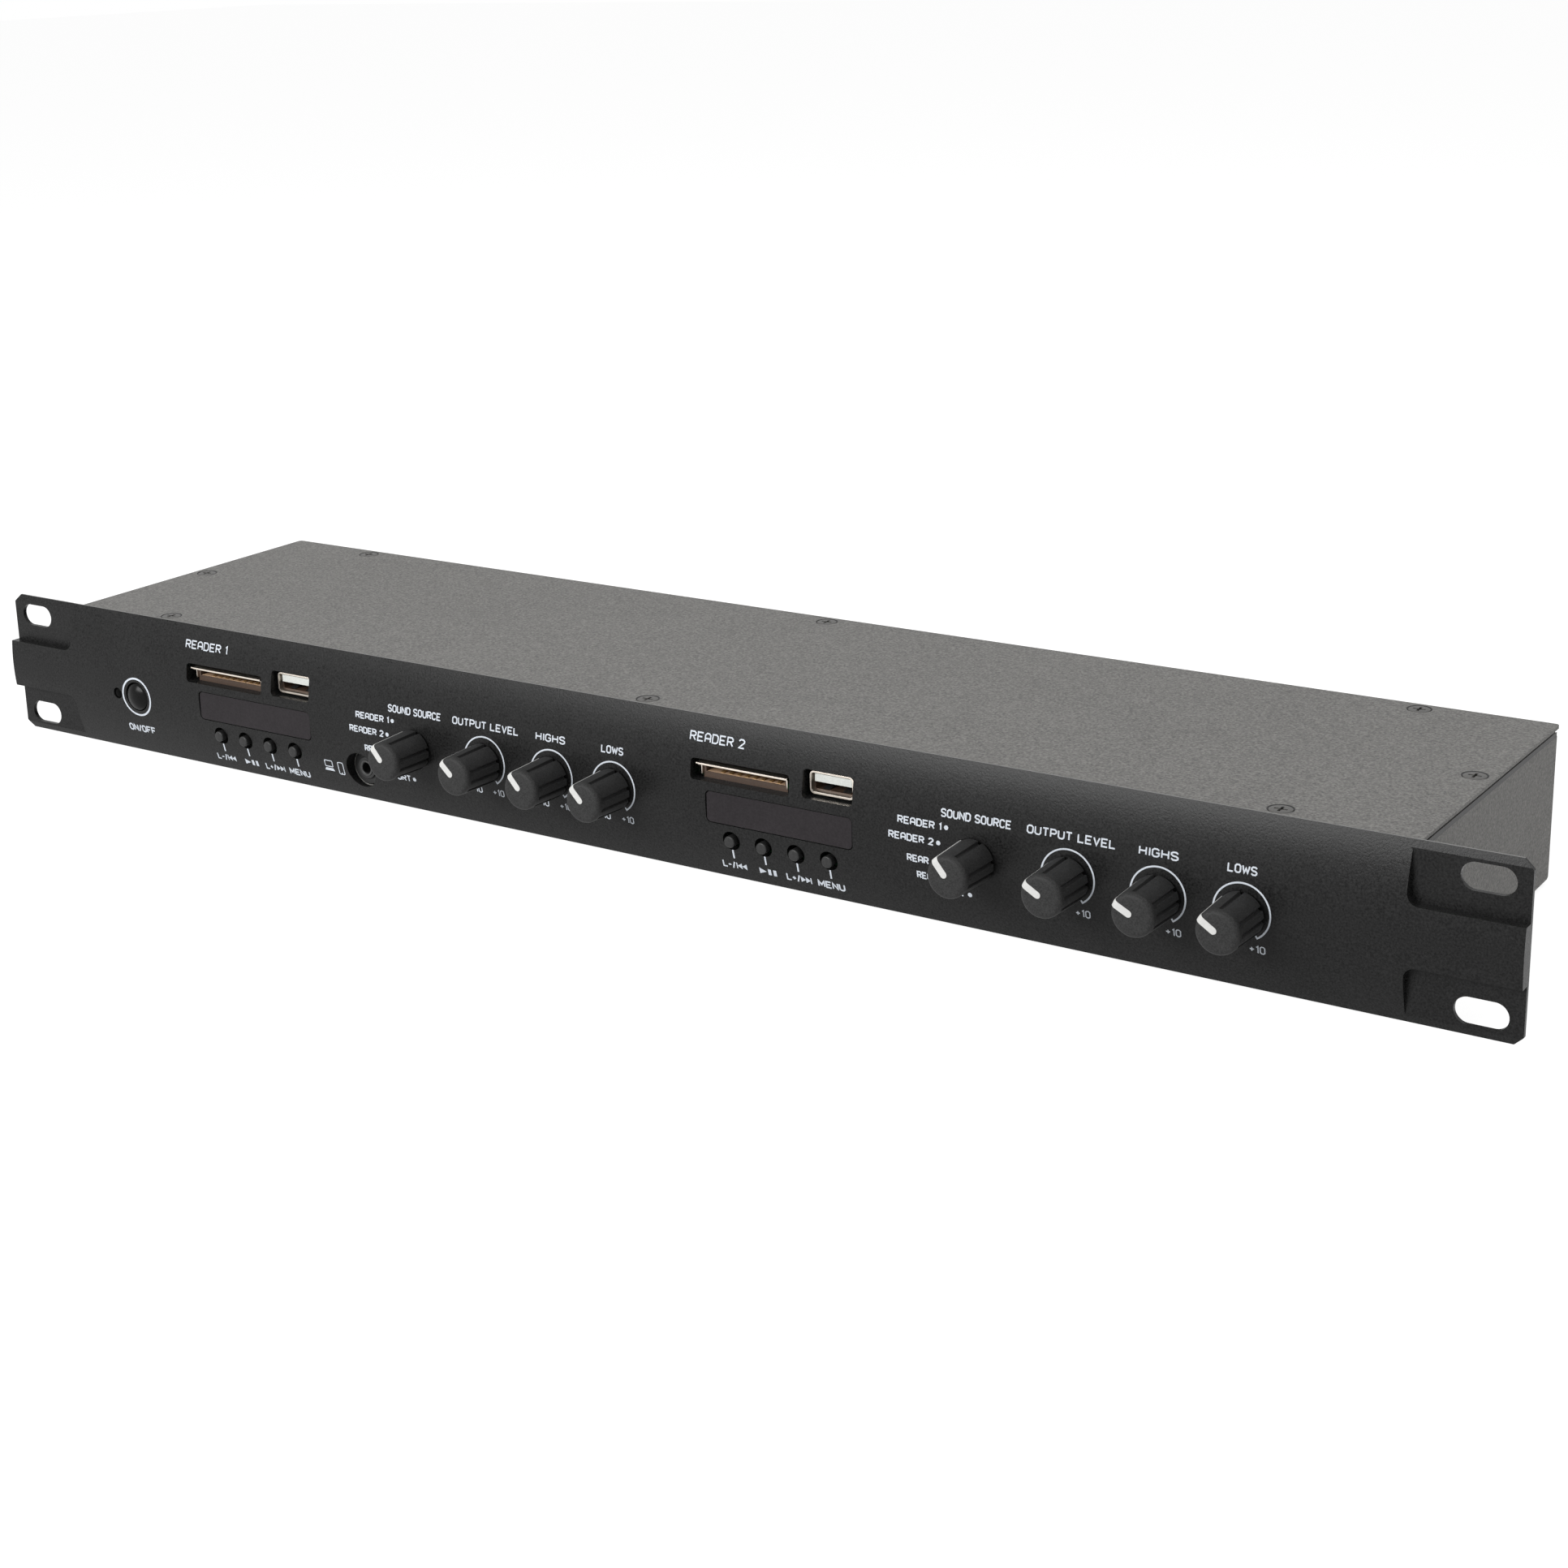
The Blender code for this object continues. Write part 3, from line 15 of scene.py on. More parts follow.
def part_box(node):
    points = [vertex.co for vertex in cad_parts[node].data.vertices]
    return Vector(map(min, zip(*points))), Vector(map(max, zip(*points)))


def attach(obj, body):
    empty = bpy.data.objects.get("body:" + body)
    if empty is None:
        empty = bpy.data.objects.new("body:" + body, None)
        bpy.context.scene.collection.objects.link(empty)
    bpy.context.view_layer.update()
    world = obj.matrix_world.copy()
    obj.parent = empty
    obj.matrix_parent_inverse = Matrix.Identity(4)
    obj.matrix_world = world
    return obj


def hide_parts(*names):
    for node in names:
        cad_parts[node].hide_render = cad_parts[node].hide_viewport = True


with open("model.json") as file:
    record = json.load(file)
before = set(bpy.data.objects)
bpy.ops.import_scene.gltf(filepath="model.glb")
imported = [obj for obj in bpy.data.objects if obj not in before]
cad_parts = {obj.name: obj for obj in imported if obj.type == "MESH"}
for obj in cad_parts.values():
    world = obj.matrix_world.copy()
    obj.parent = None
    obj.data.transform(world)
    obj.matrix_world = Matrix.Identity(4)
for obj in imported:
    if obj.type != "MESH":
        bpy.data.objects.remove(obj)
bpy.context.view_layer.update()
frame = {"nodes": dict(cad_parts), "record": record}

MM = 0.001
EAR_THICKNESS = 1.6
EAR_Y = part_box("front_panel")[1][1] / MM - EAR_THICKNESS

PANEL_WIDTH, PANEL_HEIGHT = 482.6, 43.6
PANEL_MIDDLE = PANEL_HEIGHT / 2
CROWN, CROWN_RADIUS = 3.0, 60.0
EAR_LENGTH = 26.9
OVERRUN = 1  # how far a cutting shape reaches past what it cuts


def place(x, y, z):
    """A point of the panel's frame as metres in the model's frame."""
    return (x * MM, (y + EAR_Y) * MM, z * MM)


def middle(node):
    """The middle of a node's box, in millimetres in the panel's frame."""
    low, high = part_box(node)
    x, y, z = ((a + b) / 2 / MM for a, b in zip(low, high))
    return (x, y - EAR_Y, z)


def span(node):
    """A node's box in millimetres, as its lower and upper corner in the panel's frame."""
    return [(x / MM, y / MM - EAR_Y, z / MM) for x, y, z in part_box(node)]


def crown_y(z):
    """Where the panel's crowned front is at a height."""
    rise = z - PANEL_MIDDLE
    return CROWN_RADIUS - CROWN - sqrt(CROWN_RADIUS ** 2 - rise ** 2)


# Shapes
def turned(axis, u, v, along):
    """A point of an outline, at a distance along its axis."""
    return {"X": (along, u, v), "Y": (u, along, v), "Z": (u, v, along)}[axis]


def closed_faces(count):
    """The faces of a closed strip whose corners are one outline followed by another."""
    faces = [list(range(count)), list(range(count, count * 2))]
    return faces + [[i, (i + 1) % count, (i + 1) % count + count, i + count] for i in range(count)]


def prism(outline, start, end, axis="Y"):
    """A closed outline swept along an axis: (x, z) for Y, (x, y) for Z, (y, z) for X."""
    points = [turned(axis, u, v, along) for along in (start, end) for u, v in outline]
    return points, closed_faces(len(outline))


def block(low, high):
    """A box between two corners."""
    (x0, y0, z0), (x1, y1, z1) = low, high
    return prism([(x0, z0), (x1, z0), (x1, z1), (x0, z1)], y0, y1)


def ring(centre, radius, count=48):
    """The corners of a circle."""
    return [
        (centre[0] + radius * cos(2 * pi * i / count), centre[1] + radius * sin(2 * pi * i / count))
        for i in range(count)
    ]


def rounded(centre, size, radius, steps=8):
    """The corners of a rectangle with round corners."""
    half_u, half_v = size[0] / 2 - radius, size[1] / 2 - radius
    outline = []
    for quarter, (side, up) in enumerate(((1, 1), (-1, 1), (-1, -1), (1, -1))):
        for step in range(steps + 1):
            angle = pi / 2 * (quarter + step / steps)
            u = centre[0] + side * half_u + radius * cos(angle)
            v = centre[1] + up * half_v + radius * sin(angle)
            outline.append((u, v))
    return outline


def skin(rings, count, loop=False):
    """The faces between rings of corners, where a ring can be a single corner."""
    faces = []
    for a, b in zip(rings, rings[1:] + rings[:1] if loop else rings[1:]):
        for i in range(count):
            corners = (a[i % len(a)], a[(i + 1) % len(a)], b[(i + 1) % len(b)], b[i % len(b)])
            face = list(dict.fromkeys(corners))
            if len(face) > 2:
                faces.append(face)
    return faces


def lathe(profile, count=64, axis="Y", centre=(0, 0), loop=False):
    """A profile of (radius, along) turned round an axis. A loop is a closed profile that stays off the axis."""
    points, rings = [], []
    for radius, along in profile:
        if radius == 0:
            rings.append([len(points)])
            points.append(turned(axis, centre[0], centre[1], along))
            continue
        rings.append(list(range(len(points), len(points) + count)))
        points += [turned(axis, u, v, along) for u, v in ring(centre, radius, count)]
    return points, skin(rings, count, loop)


def rim(inner, size, front, steps):
    """The quarter round from a face's edge to its side, as (radius, y), without its first point."""
    angles = [pi / 2 * i / steps for i in range(1, steps + 1)]
    return [(inner + size * sin(a), front + size * (1 - cos(a))) for a in angles]


def moved(shape, x=0.0, y=0.0, z=0.0):
    """A shape somewhere else."""
    points, faces = shape
    return [(px + x, py + y, pz + z) for px, py, pz in points], faces


def merged(shapes):
    """Several shapes as one, side by side."""
    points, faces = [], []
    for more, their in shapes:
        base = len(points)
        points += more
        faces += [[i + base for i in face] for face in their]
    return points, faces


def mesh_of(shape, name="shape"):
    """A mesh in millimetres with its faces turned outward."""
    work = bmesh.new()
    corners = [work.verts.new(point) for point in shape[0]]
    for face in shape[1]:
        work.faces.new([corners[i] for i in face])
    bmesh.ops.recalc_face_normals(work, faces=work.faces[:])
    mesh = bpy.data.meshes.new(name)
    work.to_mesh(mesh)
    work.free()
    return mesh


def new_object(name, data):
    """An object in the scene that shows a mesh, a lamp or a camera."""
    obj = bpy.data.objects.new(name, data)
    bpy.context.scene.collection.objects.link(obj)
    return obj


def baked(obj):
    """The mesh of an object with its modifiers applied. The object is removed."""
    graph = bpy.context.evaluated_depsgraph_get()
    graph.update()
    mesh = bpy.data.meshes.new_from_object(obj.evaluated_get(graph))
    bpy.data.objects.remove(obj)
    return mesh


def boolean(shape, tools, operation="DIFFERENCE"):
    """One shape with others, none of which touch each other, cut away or joined to it."""
    body, tool = new_object("body", mesh_of(shape)), new_object("tool", mesh_of(merged(tools)))
    modifier = body.modifiers.new("boolean", "BOOLEAN")
    modifier.operation = operation
    modifier.solver = "EXACT"
    modifier.object = tool
    mesh = baked(body)
    bpy.data.objects.remove(tool)
    return [tuple(v.co) for v in mesh.vertices], [list(p.vertices) for p in mesh.polygons]


def sliced(shape, places):
    """A shape with its faces split by planes across x, so that it shades evenly."""
    work = bmesh.new()
    work.from_mesh(mesh_of(shape))
    for x in places:
        everything = work.verts[:] + work.edges[:] + work.faces[:]
        bmesh.ops.bisect_plane(work, geom=everything, plane_co=(x, 0, 0), plane_no=(1, 0, 0))
    work.verts.index_update()
    points = [tuple(v.co) for v in work.verts]
    faces = [[v.index for v in face.verts] for face in work.faces]
    work.free()
    return points, faces


# Materials
def tone(red, green=None, blue=None):
    """A colour written as 0 to 255 on a screen, in the renderer's linear terms."""
    values = (red, red if green is None else green, red if blue is None else blue)
    linear = []
    for value in values:
        v = value / 255
        linear.append(v / 12.92 if v <= 0.04045 else ((v + 0.055) / 1.055) ** 2.4)
    return (*linear, 1.0)


def shader_node(nodes, kind, inputs=None):
    """A new shader node with some of its inputs set."""
    node = nodes.new(f"ShaderNode{kind}")
    for name, value in (inputs or {}).items():
        node.inputs[name].default_value = value
    return node


def finish(name, dark, light, rough, grain, bump=0.0, stretch=(1, 1, 1), metallic=0.0, specular=0.5,
           spread=0.06, broad=18.0, cloud=0.35):
    """A procedural finish: two tones mixed by fine grain and broad drift, uneven gloss and relief.

    grain is the size of its specks and bump their relief, both in millimetres, and cloud is the drift's share.
    """
    material = bpy.data.materials.new(name)
    material.use_nodes = True
    nodes, links = material.node_tree.nodes, material.node_tree.links
    shader = nodes["Principled BSDF"]
    shader.inputs["Metallic"].default_value = metallic
    shader.inputs["Specular IOR Level"].default_value = specular
    where = shader_node(nodes, "TexCoord")
    mapping = shader_node(nodes, "Mapping", {"Scale": stretch})
    links.new(where.outputs["Object"], mapping.inputs["Vector"])
    fine = shader_node(nodes, "TexNoise", {"Scale": 1 / (grain * MM), "Detail": 3.0, "Roughness": 0.6})
    drift = shader_node(nodes, "TexNoise", {"Scale": 1 / (broad * MM), "Detail": 2.0})
    mix = shader_node(nodes, "Mix", {"Factor": cloud})
    for noise, share in ((fine, "A"), (drift, "B")):
        links.new(mapping.outputs["Vector"], noise.inputs["Vector"])
        links.new(noise.outputs["Fac"], mix.inputs[share])
    ramp = shader_node(nodes, "ValToRGB")
    for element, position, colour in zip(ramp.color_ramp.elements, (0.33, 0.67), (dark, light)):
        element.position, element.color = position, colour
    links.new(mix.outputs["Result"], ramp.inputs["Fac"])
    links.new(ramp.outputs["Color"], shader.inputs["Base Color"])
    limits = {"From Min": 0.3, "From Max": 0.7, "To Min": rough - spread, "To Max": rough + spread}
    gloss = shader_node(nodes, "MapRange", limits)
    links.new(mix.outputs["Result"], gloss.inputs["Value"])
    links.new(gloss.outputs["Result"], shader.inputs["Roughness"])
    if bump:
        relief = shader_node(nodes, "Bump", {"Strength": 0.6, "Distance": bump * MM})
        links.new(fine.outputs["Fac"], relief.inputs["Height"])
        links.new(relief.outputs["Normal"], shader.inputs["Normal"])
    return material


PANEL = finish("panel_black", tone(12), tone(36), 0.31, 0.5, 0.09, specular=0.13, cloud=0.1)
# Light grey for the panel's top faces: a painted highlight for the light along the panel's top edge.
PAINTED_TOP_HIGHLIGHT = finish("panel_top_painted_highlight", tone(104), tone(124, 123, 122), 0.55, 0.4, 0.01)
CASE = finish("case_grey", tone(80, 79, 78), tone(134, 133, 130), 0.6, 0.6, 0.1, specular=0.18, cloud=0.05)
KNOB = finish("knob_black", tone(24), tone(50), 0.6, 0.35, 0.05, specular=0.2, cloud=0.15)
KEY = finish("key_black", tone(24), tone(40), 0.4, 0.4, 0.01, specular=0.3)
POINTER = finish("pointer_white", tone(184, 184, 182), tone(198, 198, 196), 0.55, 0.5, 0.006)
PRINT = finish("print_grey", tone(178, 184, 192), tone(198, 203, 210), 0.6, 0.3, 0.004, broad=4.0)
WINDOW = finish("smoked_window", tone(33, 30, 32), tone(43, 40, 42), 0.4, 0.6, 0.006, specular=0.1, spread=0.04)
STEEL = finish("bright_steel", tone(206, 196, 184), tone(230, 222, 212), 0.34, 0.5, 0.004, (1, 6, 6), metallic=1.0)
ZINC = finish("black_zinc", tone(64, 63, 61), tone(86, 85, 83), 0.45, 0.3, 0.01, specular=0.3)
# Black plastic; also laid as painted shade in the cover's countersinks and along the tray's sides.
PLASTIC_AND_PAINTED_SHADE = finish("black_plastic", tone(24), tone(34), 0.5, 0.35, 0.012, specular=0.4)
DARK_METAL = finish("dark_metal", tone(62), tone(84), 0.35, 0.3, 0.01, metallic=0.8)
BROWN = finish("socket_brown", tone(54, 40, 31), tone(76, 58, 45), 0.5, 0.4, 0.006)
# Tan of the card socket's liner, raised as painted light where the lid shades the socket's floor.
TAN_AND_PAINTED_LIGHT = finish("socket_tan_painted_light", tone(172, 142, 114), tone(196, 166, 138), 0.5, 0.4, 0.006)
PALE = finish("pale_plastic", tone(184, 187, 182), tone(204, 206, 202), 0.4, 0.4, 0.006)
GOLD = finish("contact_gold", tone(186, 156, 112), tone(212, 184, 138), 0.32, 0.4, 0.003, metallic=0.9)
BOARD = finish("green_board", tone(22, 74, 44), tone(34, 96, 58), 0.4, 0.8, 0.01)
RIBBON = finish("grey_ribbon", tone(138, 138, 142), tone(160, 160, 164), 0.5, 0.9, 0.02, (1, 8, 8))
POT = finish("pot_case", tone(150, 146, 140), tone(178, 174, 166), 0.35, 0.5, 0.008, metallic=0.9)
LENS = finish("pilot_lens", tone(3), tone(6), 0.3, 0.6, 0.002, specular=0.03)
GLOSS = finish("button_gloss", tone(8), tone(16), 0.22, 0.5, 0.003, specular=0.11, spread=0.03)
WHITE_INSERT = finish("insert_white", tone(214, 212, 206), tone(228, 226, 220), 0.4, 0.5, 0.006)
RED_INSERT = finish("insert_red", tone(150, 24, 22), tone(172, 34, 30), 0.4, 0.5, 0.006)

# The finishes of each CAD slot. The first is also the finish of the CAD nodes that stay in sight.
SLOTS = {
    "panel_black": [PANEL], "case_grey": [CASE], "knob_black": [KNOB, KEY, GLOSS], "smoked_window": [WINDOW],
    "bright_steel": [STEEL, BROWN, TAN_AND_PAINTED_LIGHT, GOLD, DARK_METAL], "black_zinc": [ZINC],
    "black_plastic": [PLASTIC_AND_PAINTED_SHADE, LENS], "pale_plastic": [PALE, POINTER, PRINT, WHITE_INSERT, RED_INSERT],
    "green_board": [BOARD], "grey_ribbon": [RIBBON], "pot_case": [POT],
}


# Pieces
SHARED = {}


def piece(name, shape, material, body="unit", nodes=(), angle=32, bevel=0.0, segments=2, at=(0, 0, 0),
          turn=0.0, slot=None):
    """An object made of a shape, riding on a body and standing for CAD nodes.

    Its origin is at a place in the panel's frame, and turn is its turn about y, in degrees.
    Edges sharper than angle, in degrees, are bevelled and shaded sharp.
    """
    obj = new_object(name, mesh_of(shape, name))
    if bevel:
        edge = obj.modifiers.new("bevel", "BEVEL")
        edge.width = bevel
        edge.segments = segments
        edge.limit_method = "ANGLE"
        edge.angle_limit = radians(angle)
        edge.use_clamp_overlap = True
    mesh = baked(obj)
    mesh.name = name
    mesh.transform(Matrix.Scale(MM, 4))
    mesh.shade_smooth()
    mesh.set_sharp_from_angle(angle=radians(angle))
    return shown(name, mesh, material, body, nodes, at, turn)


def shown(name, mesh, material, body="unit", nodes=(), at=(0, 0, 0), turn=0.0):
    """An object that shows a finished mesh at a place, riding on a body.

    Its normals follow the larger faces, so that flat faces stay flat up to their rounded edges.
    """
    if not mesh.materials:
        mesh.materials.append(material)
    obj = new_object(name, mesh)
    obj.location = place(*at)
    obj.rotation_euler = (0, -radians(turn), 0)
    bpy.context.view_layer.update()
    normals = obj.modifiers.new("normals", "WEIGHTED_NORMAL")
    normals.weight = 50
    normals.keep_sharp = True
    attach(obj, body)
    if nodes:
        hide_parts(*nodes)
    return obj


def copied(kind, name, make, material, body="unit", nodes=(), at=(0, 0, 0), turn=0.0, **form):
    """A piece whose mesh is made once and shared by all pieces of its kind. form holds its angle or bevel."""
    if kind in SHARED:
        shown(name, SHARED[kind], material, body, nodes, at, turn)
    else:
        SHARED[kind] = piece(name, make(), material, body, nodes, at=at, turn=turn, **form).data


# Front panel
CROWN_STEPS = 72
PANEL_CORNER = 2.3
EAR_BAND = 14.6  # height of the crowned part that stays between an ear's two recesses
RECESS_Y, RECESS_CORNER, RECESS_OVERRUN = 0.4, 3.0, 4
RACK_SLOT_X, RACK_SLOT_Z = 231.6, 15.85
RACK_SLOT_SIZE, RACK_SLOT_RADIUS = (12.6, 6.7), 3.34
SEAT_REACH, SEAT_START, SEAT_END = 215.3, 1.5, 3  # the seat for the tray behind the panel
SLICES = (213.6, 211.5, 200.0, 175.0, 105.0, 62.0, 20.0)
DECK_HOLES = {
    "display_window": ((45.0, 8.8), 1.4),
    "card_socket": ((30.7, 5.7), 1.1),
    "usb_shell": ((15.0, 7.5), 1.1),
}
KEY_HOLE, BUSHING_HOLE = 2.65, 3.85
SINGLE_HOLES = {"power_button": (4.6, 64), "pilot_light": (1.75, 48), "aux_jack": (5.4, 72)}
DECKS = (1, 2)
KEYS = ("previous_button", "play_button", "next_button", "mode_button")
KNOBS = ("source", "volume", "treble", "bass")
JOINTS = {joint["name"]: joint for joint in frame["record"]["behaviour"]["joints"]}


def knob_centre(knob, number):
    """Where a knob's axis meets the panel."""
    x, _, z = JOINTS[f"{knob}_turn_{number}"]["pos_m"]
    return (x / MM, z / MM)


def panel_holes():
    """The outlines, as (x, z), of the holes for windows, sockets, buttons and knobs."""
    holes = []
    for number in DECKS:
        for node, (size, radius) in DECK_HOLES.items():
            holes.append(rounded(middle(f"{node}_{number}")[::2], size, radius, 10))
        holes += [ring(middle(f"{key}_{number}")[::2], KEY_HOLE) for key in KEYS]
        holes += [ring(knob_centre(knob, number), BUSHING_HOLE, 32) for knob in KNOBS]
    return holes + [ring(middle(node)[::2], *form) for node, form in SINGLE_HOLES.items()]


def panel_shape():
    """The crowned extrusion with its ears and every hole, in fine steps."""
    heights = [PANEL_HEIGHT * i / CROWN_STEPS for i in range(CROWN_STEPS + 1)]
    section = [(crown_y(z), z) for z in heights] + [(EAR_THICKNESS, PANEL_HEIGHT), (EAR_THICKNESS, 0)]
    bar = prism(section, -PANEL_WIDTH / 2, PANEL_WIDTH / 2, "X")
    front, back = -CROWN - OVERRUN, EAR_THICKNESS + OVERRUN
    blank = prism(rounded((0, PANEL_MIDDLE), (PANEL_WIDTH, PANEL_HEIGHT), PANEL_CORNER, 1), front, back)
    panel = boolean(bar, [blank], "INTERSECT")
    recess = (PANEL_HEIGHT - EAR_BAND) / 2
    size = (EAR_LENGTH + RECESS_OVERRUN, recess + RECESS_OVERRUN)
    recesses, slots = [], []
    for side in (-1, 1):
        for up in (-1, 1):
            x = side * (PANEL_WIDTH / 2 + (RECESS_OVERRUN - EAR_LENGTH) / 2)
            z = PANEL_MIDDLE + up * ((PANEL_HEIGHT - recess) / 2 + RECESS_OVERRUN / 2)
            recesses.append(prism(rounded((x, z), size, RECESS_CORNER, 12), front, RECESS_Y))
            centre = (side * RACK_SLOT_X, PANEL_MIDDLE + up * RACK_SLOT_Z)
            slots.append(prism(rounded(centre, RACK_SLOT_SIZE, RACK_SLOT_RADIUS, 16), -OVERRUN, back))
    seat = block((-SEAT_REACH, SEAT_START, -OVERRUN), (SEAT_REACH, SEAT_END, PANEL_HEIGHT + OVERRUN))
    panel = boolean(boolean(panel, recesses), slots + [seat])
    panel = boolean(panel, [prism(hole, front, back) for hole in panel_holes()])
    return sliced(panel, [side * x for side in (-1, 1) for x in SLICES])


panel = piece("panel", panel_shape(), PANEL, nodes=["front_panel"], angle=20, bevel=0.12)
# The panel's upward top faces get the light grey finish, a painted highlight along its top edge.
panel.data.materials.append(PAINTED_TOP_HIGHLIGHT)
for face in panel.data.polygons:
    if face.normal.z > 0.9 and face.center.z > (PANEL_HEIGHT - 0.2) * MM:
        face.material_index = 1


# Printed marks
MARK_LIFT, MARK_SINK, MARK_STEP = 0.03, 0.02, 0.006
SPLIT_LENGTH = 1.2
MITRE_LIMIT = 0.45


def on_crown(x, z, lift):
    """A point on the panel's crowned front, lifted off it."""
    return (x, crown_y(z) - lift, z)


def split(points, closed):
    """The same line with extra points, so that it can follow the crown."""
    ends = points + points[:1] if closed else points
    line = []
    for (x0, z0), (x1, z1) in zip(ends, ends[1:]):
        count = max(1, int(hypot(x1 - x0, z1 - z0) / SPLIT_LENGTH + 0.999))
        line += [(x0 + (x1 - x0) * i / count, z0 + (z1 - z0) * i / count) for i in range(count)]
    return line if closed else line + [ends[-1]]


def ribbon(points, width, closed=False, lift=MARK_LIFT):
    """A printed line on the panel: a thin closed strip with mitred corners."""
    line = split(points, closed)
    count = len(line)
    left, right = [], []
    for i, (x, z) in enumerate(line):
        before = line[i - 1] if i or closed else None
        after = line[(i + 1) % count] if i < count - 1 or closed else None
        ways = []
        for a, b in ((before, (x, z)), ((x, z), after)):
            if a and b:
                length = hypot(b[0] - a[0], b[1] - a[1])
                ways.append(((b[0] - a[0]) / length, (b[1] - a[1]) / length))
        along = (sum(w[0] for w in ways) / len(ways), sum(w[1] for w in ways) / len(ways))
        length = max(hypot(*along), MITRE_LIMIT)
        across = (-along[1] / length ** 2, along[0] / length ** 2)
        left.append((x + across[0] * width / 2, z + across[1] * width / 2))
        right.append((x - across[0] * width / 2, z - across[1] * width / 2))
    points = []
    for side, height in ((left, lift), (right, lift), (left, -MARK_SINK), (right, -MARK_SINK)):
        points += [on_crown(x, z, height) for x, z in side]
    b, c, d = count, count * 2, count * 3
    faces = []
    for i in range(count if closed else count - 1):
        j = (i + 1) % count
        faces += [[i, j, b + j, b + i], [c + i, d + i, d + j, c + j]]
        faces += [[i, c + i, c + j, j], [b + i, b + j, d + j, d + i]]
    if not closed:
        last = count - 1
        faces += [[0, b, d, c], [last, c + last, d + last, b + last]]
    return points, faces


def plate(outline):
    """A printed patch on the panel: a thin closed plate."""
    points = [on_crown(x, z, lift) for lift in (MARK_LIFT, -MARK_SINK) for x, z in outline]
    return points, closed_faces(len(outline))


# Letters drawn as lines on a grid four wide and six high; a True closes the line before it.
LETTERS = {
    "A": [[(0, 0), (0, 4.8), (1.2, 6), (2.8, 6), (4, 4.8), (4, 0)], [(0.35, 2.4), (3.65, 2.4)]],
    "C": [[(4, 4.9), (2.9, 6), (1.1, 6), (0, 4.9), (0, 1.1), (1.1, 0), (2.9, 0), (4, 1.1)]],
    "D": [[(0, 0), (0, 6), (2.8, 6), (4, 4.8), (4, 1.2), (2.8, 0)], True],
    "E": [[(4, 6), (0, 6), (0, 0), (4, 0)], [(0.35, 3), (3.3, 3)]],
    "F": [[(4, 6), (0, 6), (0, 0)], [(0.35, 3), (3.3, 3)]],
    "G": [[(4, 4.9), (2.9, 6), (1.1, 6), (0, 4.9), (0, 1.1), (1.1, 0), (2.9, 0), (4, 1.1), (4, 2.9), (2.2, 2.9)]],
    "H": [[(0, 0), (0, 6)], [(4, 0), (4, 6)], [(0.35, 3), (3.65, 3)]],
    "I": [[(0.4, 0), (0.4, 6)]],
    "L": [[(0, 6), (0, 0), (3.8, 0)]],
    "M": [[(0, 0), (0, 6), (2.4, 1.8), (4.8, 6), (4.8, 0)]],
    "N": [[(0, 0), (0, 6), (4, 0), (4, 6)]],
    "O": [[(1.1, 0), (2.9, 0), (4, 1.1), (4, 4.9), (2.9, 6), (1.1, 6), (0, 4.9), (0, 1.1)], True],
    "P": [[(0, 0), (0, 6), (2.9, 6), (4, 5), (4, 3.7), (2.9, 2.7), (0.4, 2.7)]],
    "R": [[(0, 0), (0, 6), (2.9, 6), (4, 5), (4, 3.8), (2.9, 2.9), (0.4, 2.9)], [(2.3, 2.5), (4, 0)]],
    "S": [[(4, 5), (2.9, 6), (1.1, 6), (0, 5.1), (0, 4), (1.1, 3.1), (2.9, 2.9), (4, 2), (4, 0.9), (2.9, 0),
           (1.1, 0), (0, 1)]],
    "T": [[(0, 6), (4, 6)], [(2, 5.6), (2, 0)]],
    "U": [[(0, 6), (0, 1.1), (1.1, 0), (2.9, 0), (4, 1.1), (4, 6)]],
    "V": [[(0, 6), (2, 0), (4, 6)]],
    "W": [[(0, 6), (1.2, 0), (2.6, 4.6), (4, 0), (5.2, 6)]],
    "0": [[(1, 0), (2.4, 0), (3.4, 1), (3.4, 5), (2.4, 6), (1, 6), (0, 5), (0, 1)], True],
    "1": [[(0.2, 4.9), (1.4, 6), (1.4, 0)]],
    "2": [[(0, 4.9), (1.1, 6), (2.9, 6), (4, 4.9), (4, 4), (0, 0), (4, 0)]],
    "/": [[(0, -0.4), (2.2, 6.4)]],
    "+": [[(0, 2.8), (3.2, 2.8)], [(1.6, 1.2), (1.6, 4.4)]],
    "-": [[(0, 2.8), (2.8, 2.8)]],
}

LETTER_HEIGHT, LETTER_GAP, SPACE = 6, 1.7, 3.0
DIAL_RISE = 0.5
DIAL_RADIUS, TICK_RADIUS = 7.05, 6.3
DIAL_START, DIAL_END, DIAL_STEP = -57, 237, 3
SELECTOR_RADIUS, DOT_RADIUS = 10.3, 0.6
# Angle, word and width of each label of a source selector.
SELECTOR_LABELS = (
    (140, "READER 1", 12.2), (167, "READER 2", 12.6), (197, "REAR 1", 7.6), (225, "REAR 2", 7.6), (260, "PORT", 6.6),
)
# Word, width and shift of the title over each knob.
TITLES = {
    "source": ("SOUND SOURCE", 19.2, 0.2),
    "volume": ("OUTPUT LEVEL", 23.2, 0.5),
    "treble": ("HIGHS", 9.8, -0.2),
    "bass": ("LOWS", 7.0, -0.3),
}
TITLE_FOOT, TITLE_HEIGHT, TITLE_LINE = 29.4, 1.8, 0.38
SIGN_FOOT, SIGN_HEIGHT = 3.1, 1.75
ARROW, THIN_BAR, THICK_BAR = 1.45, 0.34, 0.95


